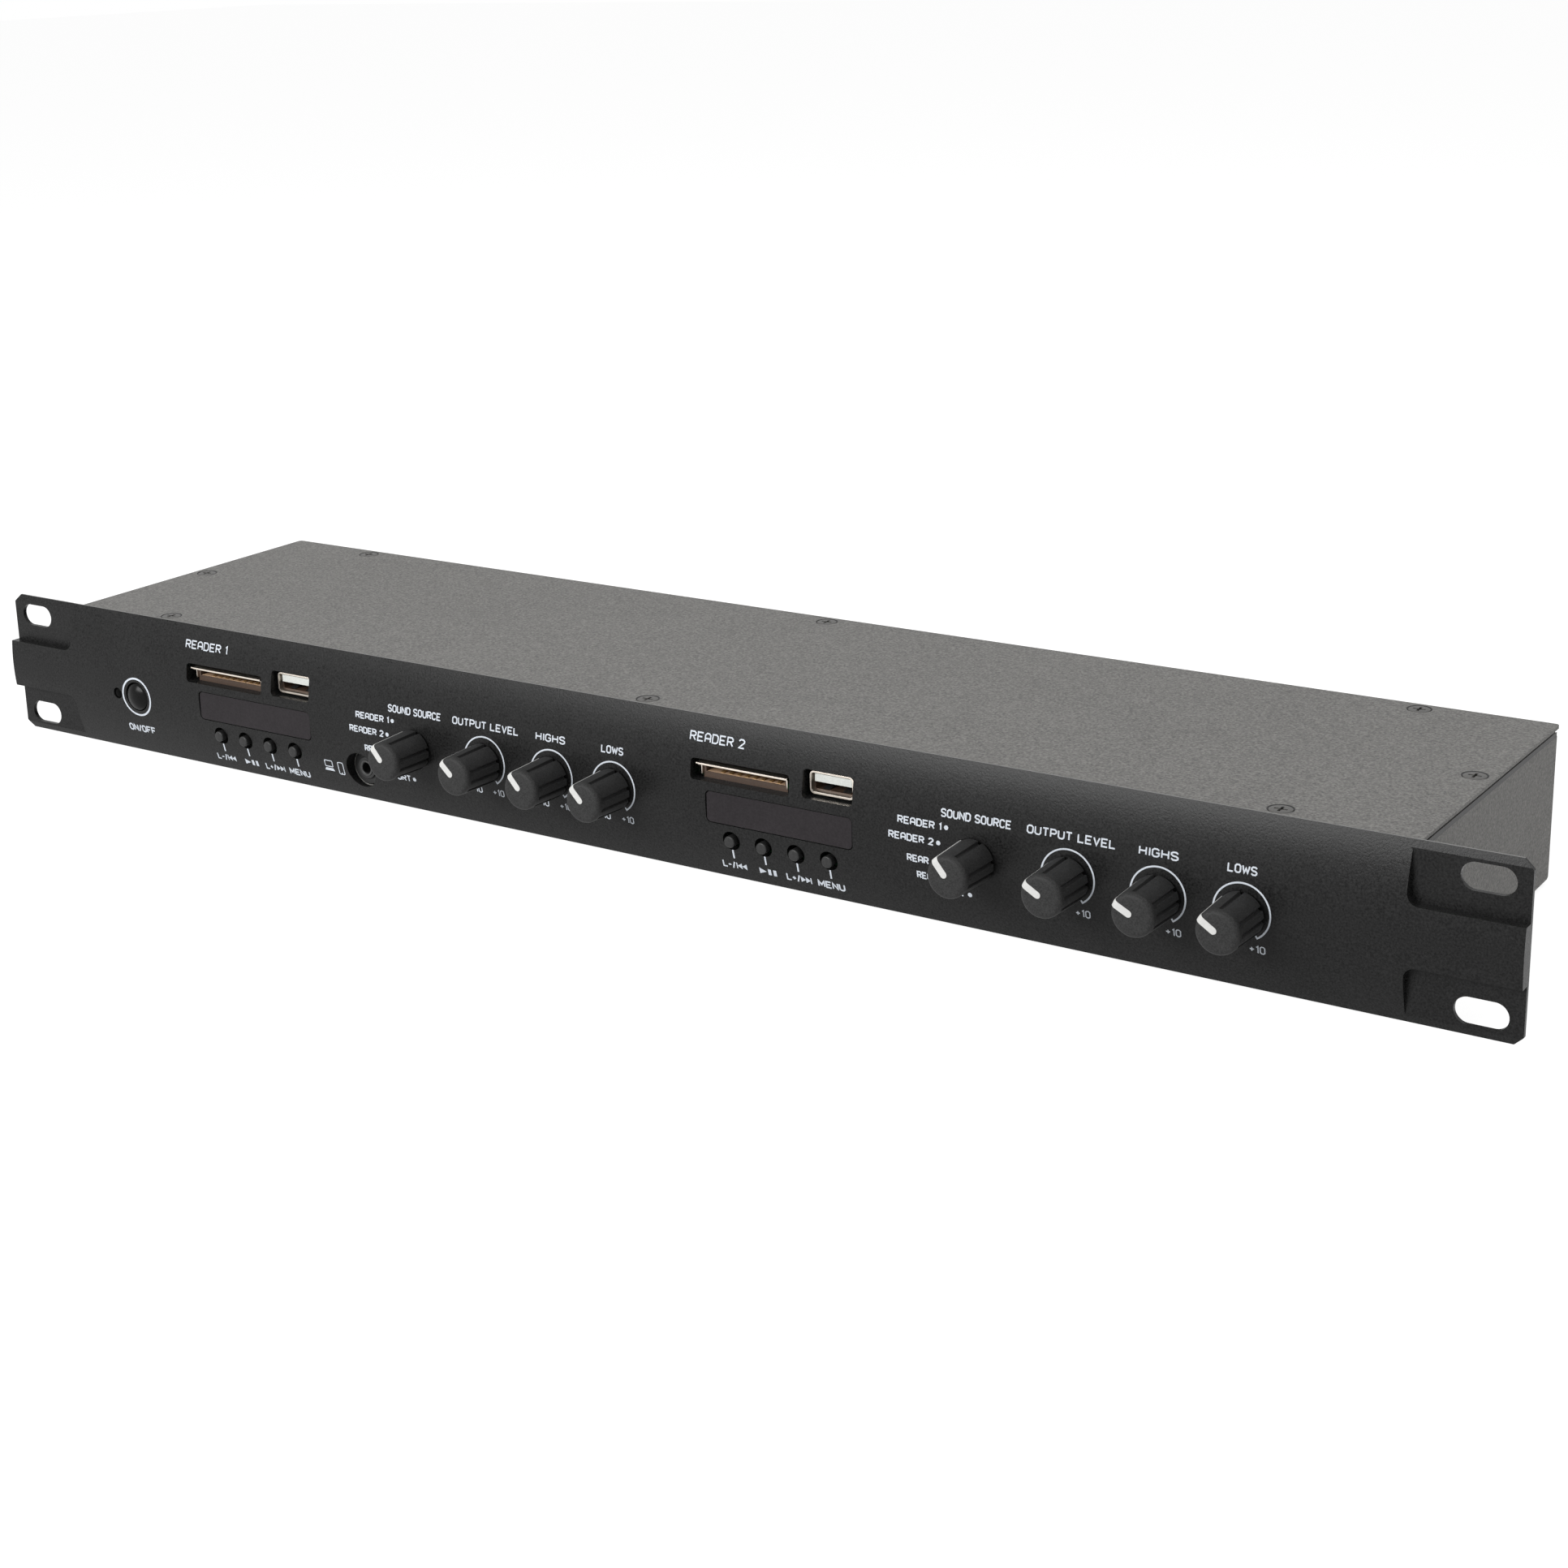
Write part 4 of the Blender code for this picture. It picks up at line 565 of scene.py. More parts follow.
def word(text, x, z, height, width, line=0.28, anchor="middle"):
    """A word in plain squared letters, its foot at z, drawn to a width about, after or before x."""
    strokes, pen = [], 0.0
    for letter in text:
        if letter == " ":
            pen += SPACE
            continue
        entries = LETTERS[letter]
        wide = max(u for entry in entries if entry is not True for u, _ in entry)
        for i, entry in enumerate(entries):
            if entry is not True:
                closed = entries[i + 1:i + 2] == [True]
                strokes.append(([(u + pen, v) for u, v in entry], closed, i))
        pen += wide + LETTER_GAP
    across, up = width / (pen - LETTER_GAP), height / LETTER_HEIGHT
    start = {"middle": x - width / 2, "left": x, "right": x - width}[anchor]
    return [
        ribbon([(start + u * across, z + v * up) for u, v in points], line, closed, MARK_LIFT + MARK_STEP * i)
        for points, closed, i in strokes
    ]


def polar(x, z, radius, angle):
    """The point at a distance and an angle in degrees from a centre."""
    return (x + radius * cos(radians(angle)), z + radius * sin(radians(angle)))


def dial_marks(x, z):
    """The arc round a knob, its end ticks and its two numbers."""
    arc = [polar(x, z, DIAL_RADIUS, angle) for angle in range(DIAL_START, DIAL_END + 1, DIAL_STEP)]
    line = [polar(x, z, TICK_RADIUS, DIAL_START)] + arc + [polar(x, z, TICK_RADIUS, DIAL_END)]
    marks = [ribbon(line, 0.42)]
    for text, shift in (("+10", 1.9), ("-10", -5.9)):
        marks += word(text, x + shift, z - 9.7, 1.75, 3.7, 0.3, "left")
    return marks


def selector_marks(x, z):
    """The dots and labels of a source selector."""
    marks = []
    for angle, label, width in SELECTOR_LABELS:
        dot_x, dot_z = polar(x, z, SELECTOR_RADIUS, angle)
        marks.append(plate(ring((dot_x, dot_z), DOT_RADIUS, 16)))
        marks += word(label, dot_x - 1.5, dot_z - 0.8, 1.6, width, 0.38, "right")
    return marks


def bar(x, width, lift=MARK_LIFT):
    """An upright bar of a key's sign."""
    return ribbon([(x, SIGN_FOOT), (x, SIGN_FOOT + SIGN_HEIGHT)], width, lift=lift)


def key_marks(places):
    """The ticks and signs under a deck's four keys."""
    marks = [ribbon([(x, 8.6), (x, 6.1)], 0.5) for x in places]
    foot, rise = SIGN_FOOT, SIGN_HEIGHT
    mid, top = foot + rise / 2, foot + rise
    x = places[0] - 3.95
    marks += word("L-/", x, foot, rise, 3.7, 0.42, "left")
    marks.append(bar(x + 4.35, THIN_BAR, MARK_LIFT + MARK_STEP))
    for start in (4.5, 6.0):
        marks.append(plate([(x + start, mid), (x + start + ARROW, top), (x + start + ARROW, foot)]))
    x = places[1] - 2.5
    marks.append(plate([(x, foot), (x, top), (x + 2.2, mid)]))
    marks += [bar(x + across, THICK_BAR) for across in (3.15, 4.8)]
    x = places[2] - 3.95
    marks += word("L+/", x, foot, rise, 3.9, 0.42, "left")
    for start in (4.3, 5.8):
        marks.append(plate([(x + start, foot), (x + start, top), (x + start + ARROW, mid)]))
    marks.append(bar(x + 7.4, THIN_BAR, MARK_LIFT + MARK_STEP))
    return marks + word("MENU", places[3] - 0.4, foot, rise, 7.8, 0.45)


def deck_marks(number):
    """The title of a deck and the signs of its keys."""
    x = middle(f"display_window_{number}")[0]
    marks = word(f"READER {number}", x - 28.0, 36.9, 2.1, 16.9, 0.38, "left")
    return marks + key_marks([middle(f"{key}_{number}")[0] for key in KEYS])


def control_marks(number):
    """The titles and scales of a group of knobs."""
    marks = []
    for knob, (title, width, shift) in TITLES.items():
        x, z = knob_centre(knob, number)
        marks += word(title, x + shift, TITLE_FOOT, TITLE_HEIGHT, width, TITLE_LINE)
        marks += (selector_marks if knob == "source" else dial_marks)(x, z + DIAL_RISE)
    return marks


def power_marks():
    """The ring round the power button and the word under it."""
    x, _, z = middle("power_button")
    marks = [ribbon(ring((x - 0.1, z - 0.1), 5.85, 90), 0.58, True)]
    return marks + word("ON/OFF", x - 0.4, 7.05, 1.9, 11.0, 0.46)


def aux_marks():
    """The signs of a laptop and a telephone beside the auxiliary jack."""
    x, _, z = middle("aux_jack")
    screen = rounded((x - 12.5, z + 0.1), (2.9, 1.9), 0.25, 3)
    base = [(x - 14.4, z - 2.2), (x - 10.6, z - 2.2), (x - 11.1, z - 1.35), (x - 13.9, z - 1.35)]
    phone = rounded((x - 7.85, z - 0.8), (2.0, 3.8), 0.35, 3)
    dot = ring((x - 7.85, z - 2.35), 0.2, 10)
    return [ribbon(screen, 0.28, True), plate(base), ribbon(phone, 0.28, True), plate(dot)]


MARKS = {}
for number in DECKS:
    MARKS[f"deck_marks_{number}"] = deck_marks(number)
    MARKS[f"control_marks_{number}"] = control_marks(number)
MARKS["power_marks"] = power_marks()
MARKS["aux_marks"] = aux_marks()
for group, marks in MARKS.items():
    piece(group, merged(marks), PRINT, angle=25)


# Knobs
POINTERS = {1: (130, 137, 131, 133), 2: (129, 150, 153, 147)}
KNOB_BACK = -3.6
KNOB_FACE = span("source_knob_1")[0][1] + 0.05
KNOB_BASE, KNOB_TOP = 5.9, 5.5
KNOB_RIM = 1.2
KNOB_CORNERS = 480
FLUTE_FLOOR, FLUTE_RUN, FLUTE_HALF, FLUTE_LEAD = 4.95, 1.75, 0.55, 0.12
FLUTES = (60, 120, 150, 180, 210, 240, 300)
WELL_RADIUS, WELL_DEPTH, BORE_RADIUS, BORE_DEPTH = 4.5, 1.5, 2.1, 1.6
SHAFT_RADIUS, SHAFT_CHAMFER = 2, 0.3
SHAFT_END = span("source_knob_1")[1][1]
POINTER_HALF = 0.9
POINTER_LIFT, POINTER_SINK, SIDE_LIFT = 0.035, 0.06, 0.1
POINTER_ACROSS = (-1, -0.75, -0.4, 0, 0.4, 0.75, 1)
TIP_STEPS, RIM_START = 6, 11


def knob_side(y):
    """The radius of the knob's tapered side."""
    share = (y - KNOB_FACE - KNOB_RIM) / (KNOB_BACK - KNOB_FACE - KNOB_RIM)
    return KNOB_TOP + (KNOB_BASE - KNOB_TOP) * share


def knob_rim(steps):
    """The rounded rim between the knob's face and its side, as (radius, y)."""
    inner = KNOB_TOP - KNOB_RIM
    return [(inner, KNOB_FACE)] + rim(inner, KNOB_RIM, KNOB_FACE, steps)


def knob_profile():
    """The knob's outline as (radius, y), from the middle of its face to its back edge."""
    flat = [(radius, KNOB_FACE) for radius in (2.2, 3.6)]
    steps = (0.4, 0.53, 0.58, 0.63, 0.7, 0.8, 1.0, 1.4, 2.0, 4.0, 6.4, 8.8, 10.8)
    rows = [KNOB_FACE + KNOB_RIM + step for step in steps]
    return flat + knob_rim(7) + [(knob_side(y), y) for y in rows] + [(KNOB_BASE - 0.12, KNOB_BACK)]


def flute_floor(radius, y, angle):
    """How far out the knob reaches at an angle in degrees, with its flutes cut in."""
    run = y - KNOB_FACE - FLUTE_RUN
    if run <= 0:
        return radius
    for flute in FLUTES:
        across = radius * radians(abs((angle - flute + 180) % 360 - 180))
        if across < FLUTE_HALF:
            depth = (radius - FLUTE_FLOOR) * (1 - (across / FLUTE_HALF) ** 4)
            return radius - depth * min(1.0, run / FLUTE_LEAD)
    return radius


def knob_shape():
    """The fluted knob, pointing to +x, with a well and the end of its bore at the back."""
    count = KNOB_CORNERS
    angles = [2 * pi * i / count for i in range(count)]
    well, bore = KNOB_BACK - WELL_DEPTH, KNOB_BACK - BORE_DEPTH
    rows = [([flute_floor(radius, y, i * 360 / count) for i in range(count)], y) for radius, y in knob_profile()]
    for radius, y in ((WELL_RADIUS, KNOB_BACK), (WELL_RADIUS, well), (BORE_RADIUS, well), (BORE_RADIUS, bore)):
        rows.append(([radius] * count, y))
    points, rings = [(0, KNOB_FACE, 0)], [[0]]
    for reaches, y in rows:
        rings.append(list(range(len(points), len(points) + count)))
        points += [(reach * cos(angle), y, reach * sin(angle)) for reach, angle in zip(reaches, angles)]
    rings.append([len(points)])
    points.append((0, bore, 0))
    return points, skin(rings, count)


def pointer_path():
    """The pointer's middle line as (radius, y): a round tip, then over the face, the rim and the side."""
    path = [(0.1 + POINTER_HALF * (1 - cos(pi / 2 * i / TIP_STEPS)), KNOB_FACE) for i in range(TIP_STEPS + 1)]
    path += [(radius, KNOB_FACE) for radius in (1.8, 2.6, 3.4, 3.9)] + knob_rim(8)
    rows = [KNOB_FACE + KNOB_RIM + (KNOB_BACK - 0.5 - KNOB_FACE - KNOB_RIM) * i / 6 for i in range(1, 7)]
    return path + [(knob_side(y), y) for y in rows]


def pointer_layer(path, lift):
    """The pointer's points at a height over the knob, row by row along its path."""
    points = []
    for index, (radius, y) in enumerate(path):
        reach = max(sin(pi / 2 * index / TIP_STEPS), 0.12) if index < TIP_STEPS else 1.0
        before, after = path[max(index - 1, 0)], path[min(index + 1, len(path) - 1)]
        along = (after[0] - before[0], after[1] - before[1])
        length = hypot(*along)
        out = (along[1] / length, -along[0] / length) if index > TIP_STEPS else (0, -1)
        bend = min(1.0, max(0.0, (radius - 2.6) / 1.9))
        rise = lift if lift < 0 else lift + SIDE_LIFT * min(1.0, max(0.0, (index - RIM_START) / 6))
        for share in POINTER_ACROSS:
            v = share * POINTER_HALF * reach
            x = radius + (sqrt(max(radius ** 2 - v ** 2, 0)) - radius) * bend
            points.append((x + out[0] * rise, y + out[1] * rise, v))
    return points


def pointer_shape():
    """The white line over the knob's face, rim and side, as a thin closed strip."""
    path = pointer_path()
    points = pointer_layer(path, POINTER_LIFT) + pointer_layer(path, -POINTER_SINK)
    wide, long = len(POINTER_ACROSS), len(path)
    low = wide * long
    faces = []
    for r in range(long - 1):
        for c in range(wide - 1):
            a = r * wide + c
            faces.append([a, a + 1, a + wide + 1, a + wide])
            faces.append([low + a, low + a + wide, low + a + wide + 1, low + a + 1])
    edge = list(range(wide)) + [r * wide + wide - 1 for r in range(1, long)]
    edge += [(long - 1) * wide + c for c in range(wide - 2, -1, -1)] + [r * wide for r in range(long - 2, 0, -1)]
    faces += [[a, low + a, low + b, b] for a, b in zip(edge, edge[1:] + edge[:1])]
    return points, faces


def shaft_shape():
    """The knob's shaft, with a chamfered end."""
    start = KNOB_BACK - WELL_DEPTH
    return lathe([
        (0, start), (SHAFT_RADIUS, start), (SHAFT_RADIUS, SHAFT_END - SHAFT_CHAMFER),
        (SHAFT_RADIUS - SHAFT_CHAMFER, SHAFT_END), (0, SHAFT_END),
    ], 32)


for number in DECKS:
    for knob, pointer in zip(KNOBS, POINTERS[number]):
        x, z = knob_centre(knob, number)
        node, spot = f"{knob}_knob_{number}", (x, 0, z)
        copied("knob", f"{node}_cap", knob_shape, KNOB, node, [node], spot, pointer, angle=40)
        copied("line", f"{node}_line", pointer_shape, POINTER, node, (), spot, pointer, angle=40)
        copied("shaft", f"{node}_shaft", shaft_shape, STEEL, node, (), spot, pointer)


# Keys, power button, pilot, windows
KEY_RADIUS, KEY_ROUND = 1.6, 0.4
CAP_RADIUS, CAP_ROUND, DOME_HEIGHT = 4.25, 0.3, 1.2


def key_shape():
    """A deck key: a plunger with a rounded edge and a slightly domed face."""
    (_, front, _), (_, back, _) = span("previous_button_1")
    front += 0.05
    face = [(0, front - 0.05), (0.7, front - 0.035), (1.2, front)]
    return lathe(face + rim(1.2, KEY_ROUND, front, 6) + [(KEY_RADIUS, back), (0, back)], 48)


def power_shape():
    """The power button's domed cap and its plunger."""
    (_, front, _), (_, back, _) = span("power_button")
    flat = 3.95
    dome = [(flat * share, front + DOME_HEIGHT * share ** 2.2) for share in (0.2, 0.4, 0.55, 0.7, 0.82, 0.92, 1.0)]
    profile = [(0, front)] + dome + rim(flat, CAP_ROUND, front + DOME_HEIGHT + 0.2, 5)
    profile += [(CAP_RADIUS, front + 4.4), (CAP_RADIUS - 0.1, front + 4.5), (2.0, front + 4.5)]
    return lathe(profile + [(2.0, back - 0.2), (1.8, back), (0, back)], 72)


def pilot_shape(front):
    """The pilot light: a small domed lens on a collar behind the panel."""
    lens = [(0, front - 0.12), (0.6, front - 0.1), (1.1, front - 0.02), (1.4, front + 0.12), (1.5, front + 0.3)]
    return lathe(lens + [(1.5, 1.9), (2.0, 1.9), (2.0, 2.9), (0, 2.9)], 48)


def window_shape():
    """A display window and the ledge behind the panel that holds it."""
    glass = prism(rounded((0, 0), (44.5, 8.3), 1.2, 10), span("display_window_1")[0][1], 2.0)
    ledge = prism(rounded((0, 0), (48.6, 12.4), 1.4, 10), 1.9, 2.9)
    return boolean(glass, [ledge], "UNION")


for number in DECKS:
    for key in KEYS:
        node = f"{key}_{number}"
        x, _, z = middle(node)
        copied("key", f"{node}_cap", key_shape, KEY, node, [node], (x, 0, z), angle=40)

x, _, z = middle("power_button")
piece("power_cap", power_shape(), GLOSS, "power_button", ["power_button"], 40, at=(x, 0, z))
x, _, z = middle("pilot_light")
piece("pilot_lens", pilot_shape(crown_y(z) + 0.25), LENS, nodes=["pilot_light"], angle=40, at=(x, 0, z))
for number in DECKS:
    node = f"display_window_{number}"
    x, _, z = middle(node)
    copied("window", f"{node}_glass", window_shape, WINDOW, nodes=[node], at=(x, 0, z), bevel=0.12)


# Card and USB sockets
CARD_DEPTH = 28
CARD_SPRING = ((0.7, 0.5), (1.3, 0.8), (1.9, 0.95), (2.7, 0.8), (9.0, 0.42))
USB_TAB = ((1.4, 0.85), (3.2, 1.3), (4.4, 1.5), (5.6, 1.3), (6.6, 0.85))
CARD_SPRINGS, CARD_SPRING_PITCH = 8, 2.5


def strip(bends, front, floor, thickness, half, x):
    """A bent strip of metal through points of (depth, height), its middle at x."""
    upper = [(front + y, floor + z) for y, z in bends]
    outline = upper + [(y, z - thickness) for y, z in reversed(upper)]
    return moved(prism(outline, -half, half, "X"), x=x)


def card_shapes(front, floor):
    """A card socket's steel lid with its folded sides, its moulded body and sill, a tan liner made lighter as
    painted light on the floor, and its contacts.
    """
    lid = [
        block((-14.2, front - 2.0, floor + 2.75), (14.2, front + CARD_DEPTH, floor + 3.1)),
        block((-13.9, front - 1.5, floor + 2.42), (13.9, front + CARD_DEPTH - 0.2, floor + 2.72)),
    ]
    for x in (-13.3, 13.3):
        lid.append(block((x - 0.15, front - 0.6, floor - 0.3), (x + 0.15, front + CARD_DEPTH - 1, floor + 2.4)))
    half = 13.1
    outline = [(half, floor), (half, floor + 2.4), (-half, floor + 2.4), (-half, floor)]
    shell = prism(outline, front + 0.1, front + CARD_DEPTH)
    body = boolean(shell, [block((-12.3, front - 1, floor + 0.3), (12.3, front + 24, floor + 3))])
    sill = block((-half, front + 0.1, floor - 1.9), (half, front + 1.1, floor - 0.02))
    # The liner's light tan is painted light on the shaded socket floor.
    painted_light_liner = block((-12.25, front + 0.5, floor + 0.32), (12.25, front + 23.9, floor + 0.4))
    places = [-7.6 + CARD_SPRING_PITCH * i for i in range(CARD_SPRINGS)]
    springs = [strip(CARD_SPRING, front, floor, 0.2, 0.5, x) for x in places]
    return merged(lid), body, sill, painted_light_liner, merged(springs)


def usb_shapes(front, floor):
    """A USB socket's shell and dark lining, its tongue and block, and its contacts and spring tabs."""
    mid, top = floor + 3.05, floor + 5.2

    def bar_of(size, radius, start, end, rise=0.0, steps=8):
        return prism(rounded((0, mid + rise), size, radius, steps), front + start, front + end)

    shell = boolean(bar_of((13.2, 6.1), 1.3, -0.5, 19), [bar_of((12.3, 5.1), 0.9, -1, 20, 0.05)])
    lining = boolean(bar_of((12.2, 5.0), 0.85, 1.2, 18), [bar_of((11.8, 4.5), 0.6, 0.5, 12, 0.1)])
    blade = block((-5.55, front + 0.4, top - 2.1), (5.55, front + 12.4, top))
    tongue = boolean(bar_of((11.7, 4.4), 0.55, 12.2, 18.65, steps=6), [blade], "UNION")
    strips = [
        block((x - 0.5, front + 1.0, top - 2.22), (x + 0.5, front + 9.5, top - 2.05)) for x in (-3.5, -1, 1, 3.5)
    ]
    tabs = [strip(USB_TAB, front, floor, 0.14, 1.1, x) for x in (-3.0, 3.0)]
    return shell, lining, tongue, merged(strips), merged(tabs)


for number in DECKS:
    node = f"card_socket_{number}"
    spot = (middle(node)[0], 0, 0)
    _, front, floor = span(node)[0]
    lid, body, sill, painted_light_liner, springs = card_shapes(front, floor)
    piece(f"{node}_lid", lid, STEEL, nodes=[node], bevel=0.06, at=spot)
    for label, shape, material, bevel in (
        ("body", body, BROWN, 0.05), ("sill", sill, BROWN, 0.05), ("painted_light_liner", painted_light_liner, TAN_AND_PAINTED_LIGHT, 0),
        ("contacts", springs, GOLD, 0),
    ):
        piece(f"{node}_{label}", shape, material, bevel=bevel, at=spot)
    node, core = f"usb_shell_{number}", f"usb_tongue_{number}"
    spot = (middle(node)[0], 0, 0)
    shell, lining, tongue, strips, tabs = usb_shapes(front, span(node)[0][2])
    piece(f"{node}_shell", shell, STEEL, nodes=[node], bevel=0.05, at=spot)
    piece(f"{node}_lining", lining, BROWN, at=spot)
    piece(f"{node}_tabs", tabs, DARK_METAL, at=spot)
    piece(f"{core}_block", tongue, PALE, nodes=[core], bevel=0.08, at=spot)
    piece(f"{core}_contacts", strips, GOLD, at=spot)


# Auxiliary jack
def aux_shapes():
    """The auxiliary jack's case with its bored barrel, and the metal sleeve in its mouth."""
    back = span("aux_jack")[1][1]
    case = block((-5.5, 3.2, -5.6), (5.5, back, 5.6))
    profile = [(0, 3.4), (5.0, 3.4), (5.0, 1.62), (4.88, 1.5), (3.35, 1.5), (3.3, 1.45), (3.3, 0.95), (3.15, 0.8)]
    barrel = lathe(profile + [(2.35, 0.8), (0, 0.8)], 72)
    bore = prism(ring((0, 0), 1.8), -OVERRUN, back - 1)
    jack = boolean(boolean(case, [barrel], "UNION"), [bore])
    mouth = [(1.78, 0.9), (2.3, 0.9), (2.3, 0.55), (2.1, 0.5), (1.85, 0.5), (1.6, 0.75), (1.6, 1.4), (1.78, 1.4)]
    return jack, lathe(mouth, 64, loop=True)


x, _, z = middle("aux_jack")
jack, sleeve = aux_shapes()
piece("aux_jack_barrel", jack, PLASTIC_AND_PAINTED_SHADE, nodes=["aux_jack"], bevel=0.06, at=(x, 0, z))
piece("aux_jack_sleeve", sleeve, DARK_METAL, slot="pot_case", angle=40, at=(x, 0, z))


# Cover and screws
SCREWS = range(1, 9)
SINK_RADIUS, SCREW_HOLE = 3.3, 1.95
RABBET_WIDTH, RABBET_HEIGHT = 1.2, 0.35


def cover_shape():
    """The flat cover with its countersunk holes and a shallow rabbet under each side."""
    (x0, y0, z0), (x1, y1, z1) = span("top_cover")
    outline = rounded(((x0 + x1) / 2, (y0 + y1) / 2), (x1 - x0, y1 - y0), 1.2, 8)
    sinks = []
    for index in SCREWS:
        x, y, _ = middle(f"cover_screw_{index}")
        low, high = z0 - OVERRUN, z1 + OVERRUN
        profile = [(0, low), (SCREW_HOLE, low), (SCREW_HOLE, z0), (SINK_RADIUS, z1 - 0.02), (SINK_RADIUS, high)]
        sinks.append(lathe(profile + [(0, high)], 48, "Z", (x, y)))
    rabbets = [
        block((left, y0 - OVERRUN, z0 - OVERRUN), (right, y1 + OVERRUN, z0 + RABBET_HEIGHT))
        for left, right in ((x0 - OVERRUN, x0 + RABBET_WIDTH), (x1 - RABBET_WIDTH, x1 + OVERRUN))
    ]
    return boolean(boolean(prism(outline, z0, z1, "Z"), sinks), rabbets)


cover = piece("cover", cover_shape(), CASE, nodes=["top_cover"], bevel=0.2, segments=3)
# The countersinks' walls take the black plastic finish: painted shade round each screw head.
cover.data.materials.append(PLASTIC_AND_PAINTED_SHADE)
cover_top = span("top_cover")[1][2]
axes = [middle(f"cover_screw_{index}") for index in SCREWS]
for face in cover.data.polygons:
    near = min(hypot(face.center.x / MM - x, face.center.y / MM - y) for x, y, _ in axes)
    if near < SINK_RADIUS and face.center.z < (cover_top - 0.01) * MM:
        face.material_index = 1
# Thin dark strips along the tray's sides under the cover: painted shade for the shadow under the cover's edge.
painted_shade_strips = [block((x - 0.04, 2.4, 39.2), (x + 0.04, 101.4, 40.5)) for x, _, _ in span("chassis_tray")]
piece("side_painted_shade", merged(painted_shade_strips), PLASTIC_AND_PAINTED_SHADE)


def screw_shape():
    """A countersunk screw with a cross recess, its head's top at height 0."""
    profile = [(0, 0), (2.6, -0.02), (2.84, -0.1), (2.9, -0.22), (1.4, -1.6)]
    for thread in range(8):
        profile += [(1.4, -1.7 - thread * 0.55), (1.25, -1.95 - thread * 0.55)]
    screw = lathe(profile + [(1.0, -6.2), (0, -6.2)], 40, "Z")
    arms, corners = [], [(-0.36, -0.36), (-0.36, -1.65), (0.36, -1.65)]
    for quarter in range(4):
        arms += corners
        corners = [(-v, u) for u, v in corners]
    return boolean(screw, [prism(arms, -0.75, 0.5, "Z")])


for index in SCREWS:
    node = f"cover_screw_{index}"
    x, y, _ = middle(node)
    spot = (x, y, span(node)[1][2])
    copied("screw", f"{node}_head", screw_shape, ZINC, nodes=[node], at=spot, angle=35)


# Rear sockets
REAR_WALL, CASE_BACK = 101.9, 100.6
JACK_PITCH = 13.4
INSERTS = {"upper": (1, WHITE_INSERT), "lower": (-1, RED_INSERT)}


def tube(inner, outer, start, end, drop, z, count=64):
    """A tube whose open end is chamfered inside and outside."""
    profile = [(inner, start), (outer, start), (outer, end - drop), (outer - 0.15, end), (inner + 0.15, end)]
    return lathe(profile + [(inner, end - drop)], count, centre=(0, z), loop=True)


def jack_shapes(z, start, reach):
    """A phono jack's collar and barrel, its insert and its centre sleeve."""
    wall = REAR_WALL
    barrel = lathe([
        (3.35, start), (4.15, start), (4.15, wall + 0.05), (5.5, wall + 0.05), (5.7, wall + 0.2),
        (5.7, wall + 0.75), (5.5, wall + 0.95), (4.15, wall + 0.95), (4.15, reach - 0.2), (3.95, reach),
        (3.55, reach), (3.35, reach - 0.2),
    ], 64, centre=(0, z), loop=True)
    insert = tube(1.65, 3.3, start, reach - 0.6, 0.15, z)
    return barrel, insert, tube(1.05, 1.6, start, reach - 0.5, 0.12, z, 48)


for node in ("line_jacks_1", "line_jacks_2", "output_jacks_1", "output_jacks_2"):
    (_, y0, z0), (_, y1, z1) = span(node)
    spot = (middle(node)[0], 0, 0)
    case = block((-5.1, y0, z0), (5.1, CASE_BACK, z1))
    piece(f"{node}_case", case, PLASTIC_AND_PAINTED_SHADE, nodes=[node], bevel=0.25, at=spot)
    for label, (up, colour) in INSERTS.items():
        z = (z0 + z1) / 2 + up * JACK_PITCH / 2
        shapes = jack_shapes(z, CASE_BACK - 0.3, y1)
        for part, shape, material in zip(("barrel", "insert", "sleeve"), shapes, (STEEL, colour, STEEL)):
            piece(f"{node}_{label}_{part}", shape, material, angle=40, at=spot)


def inlet_shapes():
    """The mains inlet's housing with its lip and well, and its three pins."""
    (_, start, _), (_, mouth, _) = span("mains_inlet")
    case = prism(rounded((0, 0), (27, 19.6), 4, 12), start, mouth - 0.3)
    lip = prism(rounded((0, 0), (31, 23.6), 6, 16), REAR_WALL + 0.3, mouth)
    well = prism(rounded((0, 0), (23.8, 16.4), 2.4, 12), start + 3, mouth + OVERRUN)
    places = ((-7, -2.5), (0, 2.5), (7, -2.5))
    pins = [block((x - 1, start + 2.5, z - 2.5), (x + 1, start + 12.8, z + 2.5)) for x, z in places]
    return boolean(boolean(case, [lip], "UNION"), [well]), merged(pins)


x, _, z = middle("mains_inlet")
shell, pins = inlet_shapes()
piece("mains_inlet_shell", shell, PLASTIC_AND_PAINTED_SHADE, nodes=["mains_inlet"], bevel=0.35, segments=3, at=(x, 0, z))
piece("mains_inlet_pins", pins, STEEL, bevel=0.4, segments=3, at=(x, 0, z))


# Carried-over nodes
NODE_SLOTS = {entry["node"]: entry["material_slot"] for entry in frame["record"]["subparts"]}
for name, obj in frame["nodes"].items():
    for entry in obj.material_slots:
        entry.material = SLOTS[NODE_SLOTS[name]][0]
    if not obj.hide_render:
        obj.data.shade_smooth()
        obj.data.set_sharp_from_angle(angle=radians(32))


